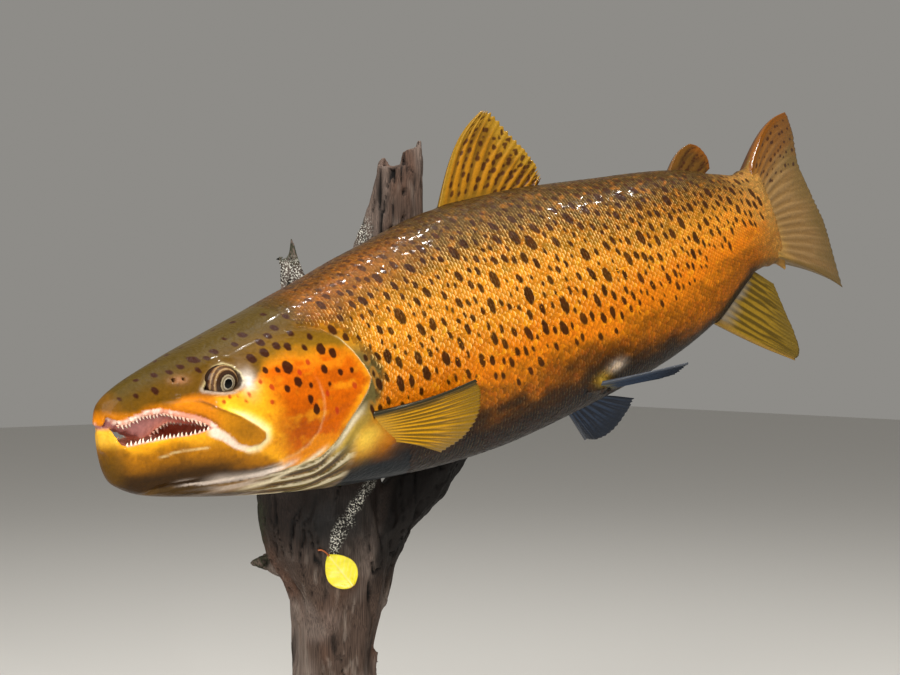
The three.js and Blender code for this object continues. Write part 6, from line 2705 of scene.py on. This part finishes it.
# ---- driftwood and leaf
@dataclass(frozen=True)
class Driftwood:
    """The weathered post: ridged and cracked along its grain, hollowed by rot and broken at the top."""

    turn: float = 38.0
    origin: tuple[float, float] = (63.2, 7.8)
    voxel: float = 2.1
    relax: float = 0.5
    relax_times: int = 6
    crack_width: float = 0.055
    crack_depth: float = 4.5
    highest: float = 1.6  # how far the ridges may stand out of the solid
    lichen_line: Straights = Straights(((240, -101), (262, -95), (285, -84), (306, -68), (330, -60)))
    moss: str = "#2f3222"
    char: str = "#0e0b0a"
    shade: str = "#1c1512"
    grey: str = "#72645c"
    pale: str = "#978a7f"
    brown: str = "#46352b"
    red: str = "#5f4030"
    crack: str = "#0b0807"
    stumps: tuple[Triples, ...] = (  # four corners at the foot of each, then four at its broken top
        ((-66, -12, 515), (-47, -13, 515), (-46, 10, 515), (-64, 10, 515),
         (-63.5, -10, 580), (-49, -11, 576), (-49, 8, 572), (-61, 8, 583)),
        ((-46, -13, 515), (-23, -13, 515), (-23, 11, 515), (-44, 11, 515),
         (-42, -11, 592), (-24.5, -10, 597), (-24, 9, 588), (-40, 9, 585)),
        ((-147, 0, 455), (-122, 1, 452), (-120, 20, 452), (-142, 20, 455),
         (-151, 3, 503), (-132, 0, 494), (-129, 15, 490), (-147, 15, 499)),
        ((-74, -4, 122), (-64, -4, 122), (-64, 3, 122), (-74, 3, 122),
         (-65.2, -2.5, 157), (-61.5, -2.5, 160), (-61.5, 1, 160), (-65.2, 1, 157)))

    def local(self, points: Array) -> Array:
        """Turn frame places in metres into wood coordinates in millimetres.

        Args:
            points: The places, one row each.

        Returns:
            The same in wood coordinates.
        """
        c, s = cos_sin(self.turn)
        x, y = points[:, 0] / MM - self.origin[0], points[:, 1] / MM - self.origin[1]
        return np.stack([c * x - s * y, s * x + c * y, points[:, 2] / MM], 1)

    def frame_place(self, points: Array) -> Array:
        """Turn wood coordinates in millimetres into frame places in metres.

        Args:
            points: The places, one row each.

        Returns:
            The same in the frame's metres.
        """
        c, s = cos_sin(self.turn)
        u, v, z = np.asarray(points, float).T
        return np.stack([self.origin[0] + c * u + s * v, self.origin[1] - s * u + c * v, z], 1) * MM

    def _fine_copy(self) -> bpy.types.Object:
        """Copy the frame's post and give it small even faces.

        Returns:
            The post, still smooth.
        """
        work = bmesh.new()
        work.from_mesh(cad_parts["driftwood"].data)
        bmesh.ops.remove_doubles(work, verts=work.verts, dist=2e-5)
        for stump in self.stumps:
            corners = [work.verts.new(place) for place in self.frame_place(stump)]
            for ring in ((3, 2, 1, 0), (4, 5, 6, 7),
                         *((k, (k + 1) % 4, (k + 1) % 4 + 4, k + 4) for k in range(4))):
                work.faces.new([corners[k] for k in ring])
        mesh = bpy.data.meshes.new("driftwood_coarse")
        work.to_mesh(mesh)
        work.free()
        holder = place_object("driftwood_coarse", mesh)
        remesh = holder.modifiers.new("fine", "REMESH")
        remesh.mode, remesh.voxel_size = "VOXEL", self.voxel * MM
        relax = holder.modifiers.new("relax", "SMOOTH")
        relax.factor, relax.iterations = self.relax, self.relax_times
        fine = evaluated_mesh(holder)
        fine.materials.clear()
        return place_object("driftwood_post", fine)

    def build(self, finish: bpy.types.Material) -> bpy.types.Object:
        """Make the post.

        Args:
            finish: Its weathered wood.

        Returns:
            The finished piece.
        """
        piece = self._fine_copy()
        mesh = piece.data
        places = vertex_points(mesh)
        normals = np.empty(len(mesh.vertices) * 3)
        mesh.vertex_normals.foreach_get("vector", normals)
        normals = normals.reshape(-1, 3)
        wood = self.local(places)
        u, v, z = wood.T
        bend = 9 * rough_noise(wood / (60, 60, 90), 3, 2)
        across = np.stack([u + bend, v - bend, z], 1)
        lump = rough_noise(across / (24, 24, 70), 21, 3)
        flute = rough_noise(across / (8, 8, 80), 31, 2)
        fibre = rough_noise(across / (3.0, 3.0, 50), 41, 2)
        line = np.abs(rough_noise(across / (9, 9, 110), 51, 2))
        open_here = ease(-0.3, 0.4, rough_noise(wood / (30, 30, 60), 61, 2))
        crack = np.exp(-((line / self.crack_width) ** 2)) * open_here
        rise = 1.5 * lump + 1.1 * flute + 0.45 * fibre - self.crack_depth * crack
        near_floor = ease(2, 10, z - places[:, 2].min() / MM)
        places += normals * (np.minimum(rise, self.highest) * near_floor * MM)[:, None]
        mesh.vertices.foreach_set("co", places.ravel())
        mesh.update()
        self._paint(mesh, wood, lump, flute, fibre, crack)
        return dress(piece, finish, "weathered_driftwood", "driftwood")

    def _paint(self, mesh: bpy.types.Mesh, wood: Array, lump: Array, flute: Array, fibre: Array,
               crack: Array) -> None:
        """Paint the post: grey on its ridges, brown between, black in its cracks, with lichen and moss.

        Args:
            mesh: The post's mesh.
            wood: Its vertices in wood coordinates.
            lump: Noise of the wide lumps.
            flute: Noise of the flutes.
            fibre: Noise of the fibres.
            crack: How cracked each vertex is.
        """
        u, v, z = wood.T
        paint = Paint(u.shape, self.grey)
        lay = paint.lay
        patch = rough_noise(wood / (40, 40, 55), 71, 3)
        speck = lattice_noise(wood / 1.7, 91)
        front = ease(20, -10, v)
        lay(self.brown, ease(0.0, 0.7, patch) * 0.8)
        lay(self.pale, ease(0.3, 1.0, fibre + 0.5 * flute) * 0.45)
        lay(self.red, ease(0.2, 0.8, rough_noise(wood / (22, 22, 40), 81, 2)) * 0.5)
        branch = ease(-52, -20, u + 0.25 * (z - 300) * (z < 300))
        dark = np.maximum(ease(225, 290, z + 12 * patch) * ease(470, 400, z), branch)
        lay(self.shade, dark * ease(480, 420, z) * 0.92)
        lay(self.crack,
            0.92 * (ease(-54, -44, u - 0.24 * (z - 309)) * ease(190, 245, z) * ease(450, 400, z)))
        lay(self.brown, ease(480, 510, z) * 0.4)
        char = bump(np.hypot((u + 95 + 10 * patch) / 34, (z - 272) / 30), 1.0) * front
        lay(self.char, char * 0.9)
        lay(self.crack, np.clip(crack * 1.6, 0, 1))
        lay(self.crack, ease(-0.5, -1.1, flute + 0.6 * lump) * 0.75)
        streak = np.abs(u - self.lichen_line(z) + 2 * patch)
        lichen = ease(7.0, 1.5, streak + 4 * lattice_noise(wood / 8, 95))
        lichen = lichen * ease(238, 250, z) * ease(345, 315, z) * front
        rim = oval(u, z, (-77, 520), (7, 12))
        stub = ease(-118, -124, u) * ease(470, 480, z)
        crust = np.clip(lichen + rim + 0.8 * stub * ease(505, 490, z), 0, 1)
        lay(self.char, 0.7 * crust)
        moss = np.maximum(stub * ease(488, 500, z), ease(-152, -164, u) * ease(300, 280, z))
        lay(self.moss, ease(-0.5, 0.1, speck) * moss)
        put(mesh, "pigment", paint.colour)
        put(mesh, "gloss", np.clip(char + 0.5 * lichen, 0, 1))
        put(mesh, "crust", crust)


@dataclass(frozen=True)
class Leaf:
    """One yellow leaf stuck to the wood: a cupped, veined sheet with its hooked stem."""

    wood: Driftwood = Driftwood()
    spot: tuple[float, float] = (-91.5, 235.0)  # across and up, in wood coordinates
    front: float = -49.08
    width: float = 27.0
    length: float = 34.0
    cup: float = 4.0
    tilt: float = -38.0
    thick: float = 0.5
    vein_gap: float = 4.6
    stem: Triples = ((0, 0, 15.4), (-0.3, -0.5, 19.5), (-1.6, -0.6, 23), (-4.2, -0.2, 25.2))
    stem_radius: float = 0.85
    rings: int = 22
    sides: int = 10
    yellow: str = "#fff21e"
    pale: str = "#fff58a"
    tip: str = "#e0a81a"
    brown: str = "#b4590c"

    def _blade(self) -> tuple[Array, Faces, Array]:
        """Give the blade's points, faces and colours, flat side along the wood.

        Returns:
            The points, the faces and a colour for each point.
        """
        rows, columns = 48, 25
        s, t = np.meshgrid(np.linspace(0.012, 0.988, rows), np.linspace(-1, 1, columns), indexing="ij")
        half = self.width / 2 * np.sin(np.pi * s**0.85) ** 0.75
        x, z = half * t, self.length * (s - 0.5)
        gap = self.vein_gap
        side_veins = bump((z - 0.85 * np.abs(x)) % gap - gap / 2, 0.42) * ease(0.95, 0.7, np.abs(t))
        veins = np.maximum(bump(x, 0.55), 0.6 * side_veins)
        cupped = self.cup * (0.25 - (s - 0.5) ** 2) - self.cup * 0.35 * t * t
        y = cupped - 0.28 * veins + 0.25 * np.sin(0.5 * z + 2 * t)
        points, faces = double_sheet(*(np.stack([x, y + side * self.thick / 2, z], -1) for side in (-1, 1)))
        paint = Paint(s.shape, self.yellow)
        paint.lay(self.pale, 0.8 * veins)
        paint.lay(self.tip, ease(0.9, 1.0, np.abs(t)) * 0.35 + ease(0.1, 0.0, s) * 0.6)
        return points, faces, np.tile(paint.colour.reshape(-1, 3), (2, 1))

    def build(self, finish: bpy.types.Material) -> bpy.types.Object:
        """Make the leaf.

        Args:
            finish: Its waxy varnish.

        Returns:
            The finished piece.
        """
        blade, faces, colour = self._blade()
        rings, sides = self.rings, self.sides
        line = catmull(self.stem, rings)
        turn = round_angles(sides)
        radius = self.stem_radius * np.interp(np.arange(rings), (0, 4, rings - 3, rings - 1),
                                              (1.0, 0.75, 0.9, 1.15))
        way = np.gradient(line, axis=0)
        way /= np.linalg.norm(way, axis=1, keepdims=True)
        across = np.cross(way, (0.0, 1.0, 0.0))
        across /= np.linalg.norm(across, axis=1, keepdims=True)
        other = np.cross(across, way)
        around = across[:, None] * np.cos(turn)[:, None] + other[:, None] * np.sin(turn)[:, None]
        tube = (line[:, None] + radius[:, None, None] * around).reshape(-1, 3)
        first = len(blade)
        faces += sheet_faces(rings, sides, first, closed=True)
        faces += [[first + k for k in range(sides)],
                  [first + (rings - 1) * sides + k for k in range(sides)][::-1]]
        flat = np.concatenate([blade, tube])
        c, s = cos_sin(self.tilt)
        u = c * flat[:, 0] + s * flat[:, 2] + self.spot[0]
        z = -s * flat[:, 0] + c * flat[:, 2] + self.spot[1]
        v = flat[:, 1] - flat[:, 1].min() + self.front
        piece = build_mesh("yellow_leaf", self.wood.frame_place(np.stack([u, v, z], 1)), faces)
        put(piece.data, "pigment", np.concatenate([colour, np.tile(linear(self.brown), (len(tube), 1))]))
        point_outwards(piece)
        return dress(piece, finish, "yellow_leaf", "leaf")


@dataclass(frozen=True)
class StandBase:
    """The oval board that the post stands on, with a moulded edge."""

    spokes: int = 128
    edge: Pairs = (  # shares of the radius and the height, from the middle of the top to that of the bottom
        (0.001, 1), (0.9, 1), (0.915, 0.99), (0.925, 0.93), (0.93, 0.84), (0.945, 0.76), (0.97, 0.7),
        (0.99, 0.62), (1, 0.5), (1, 0.12), (0.995, 0.04), (0.985, 0), (0.001, 0))

    def build(self, finish: bpy.types.Material) -> bpy.types.Object:
        """Make the board over its plain solid.

        Args:
            finish: Its stained wood.

        Returns:
            The finished piece.
        """
        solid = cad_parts["stand_base"]
        turn = np.array(solid.matrix_world)
        corners = vertex_points(solid.data) @ turn[:3, :3].T + turn[:3, 3]
        low, high = corners.min(axis=0), corners.max(axis=0)
        middle, half = (low + high) / 2, (high - low) / 2
        radii, heights = np.array(self.edge, float).T
        share, turn = np.meshgrid(radii, round_angles(self.spokes), indexing="ij")
        up = np.broadcast_to(heights[:, None], share.shape)
        points = np.stack([
            middle[0] + half[0] * share * np.cos(turn), middle[1] + half[1] * share * np.sin(turn),
            low[2] + (high[2] - low[2]) * up], -1).reshape(-1, 3)
        piece = build_mesh("oval_board", points, sheet_faces(len(self.edge), self.spokes, closed=True))
        point_outwards(piece)
        piece.data.set_sharp_from_angle(angle=0.8)
        return dress(piece, finish, "dark_wood_base", "stand_base")


# ---- studio
@dataclass(frozen=True)
class Studio:
    """The pale floor, the soft lights and the camera."""

    place: Point = (-0.7495, -1.0324, 0.430)
    turn: float = -38.0
    lens: float = 60.88
    aim: Point = (0.02, -0.05, 0.42)
    lights: tuple[tuple[str, Point, float, float], ...] = (  # name, place, metres wide and watts
        ("key_softbox", (-1.35, -1.0, 1.65), 1.6, 40), ("top_softbox", (-0.05, -0.35, 2.1), 1.4, 6),
        ("front_softbox", (-1.15, -1.25, 0.5), 0.8, 6), ("rim_softbox", (0.9, 1.4, 1.5), 1.5, 1.2),
        ("head_spark", (0.06, -0.45, 1.72), 0.05, 5), ("shoulder_spark", (0.18, 0.13, 1.82), 0.05, 5),
        ("rear_spark", (0.69, -0.48, 1.63), 0.05, 5), ("jaw_spark", (-0.27, -1.16, 0.62), 0.05, 2))

    def build(self) -> None:
        """Set up the floor, lights, sky and camera."""
        scene = bpy.context.scene
        scene.view_settings.view_transform = "Standard"
        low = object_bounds()[0][2]
        reach = 6.0
        corners = [(-reach, -reach, low), (reach, -reach, low), (reach, reach, low), (-reach, reach, low)]
        floor = build_mesh("studio_floor", np.array(corners), [[0, 1, 2, 3]])
        floor.data.materials.append(StudioPaper().material())
        floor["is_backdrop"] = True
        world = bpy.data.worlds.new("studio_sky")
        world.use_nodes = True
        back = world.node_tree.nodes["Background"]
        back.inputs["Color"].default_value = (1.0, 0.97, 0.91, 1.0)
        back.inputs["Strength"].default_value = 0.27
        scene.world = world
        for light in self.lights:
            self._light(*light)
        camera = bpy.data.cameras.new("view")
        camera.lens = self.lens
        holder = place_object("view", camera)
        holder.location = self.place
        holder.rotation_euler = (math.radians(90), 0, math.radians(self.turn))
        scene.camera = holder

    def _light(self, name: str, place: Point, size: float, power: float) -> None:
        """Hang one square lamp and point it at the fish.

        Args:
            name: What it is called.
            place: Where it hangs, in metres.
            size: How wide it is, in metres.
            power: Its power in watts.
        """
        light = bpy.data.lights.new(name, "AREA")
        light.size, light.energy, light.color = size, power, (1.0, 0.98, 0.94)
        holder = place_object(name, light)
        holder.location = place
        holder.rotation_euler = Vector(np.subtract(self.aim, place)).to_track_quat("-Z", "Y").to_euler()


def main() -> None:
    """Build the mount piece by piece."""
    logging.basicConfig(level=logging.INFO, format="%(message)s")
    markings, skin, strewing = Markings(), TroutSkin(), Strewing()
    skin.build(markings, VarnishedSkin())
    ScaleCoat().build(skin.clay, strewing, markings, PearlScale())
    glass = GlassEye().material()
    for side in Side:
        Eyes().build(side, glass)
    Teeth(skin).build(strewing, Enamel().material())
    Tongue().build(WetFlesh().material())
    membrane = FinMembrane().material()
    for fin in trout_fins():
        fin.build(membrane)
    Driftwood().build(WeatheredWood().material())
    Leaf().build(GlossyLeaf().material())
    StandBase().build(StainedOak().material())
    Studio().build()


if __name__ == "__main__":
    main()
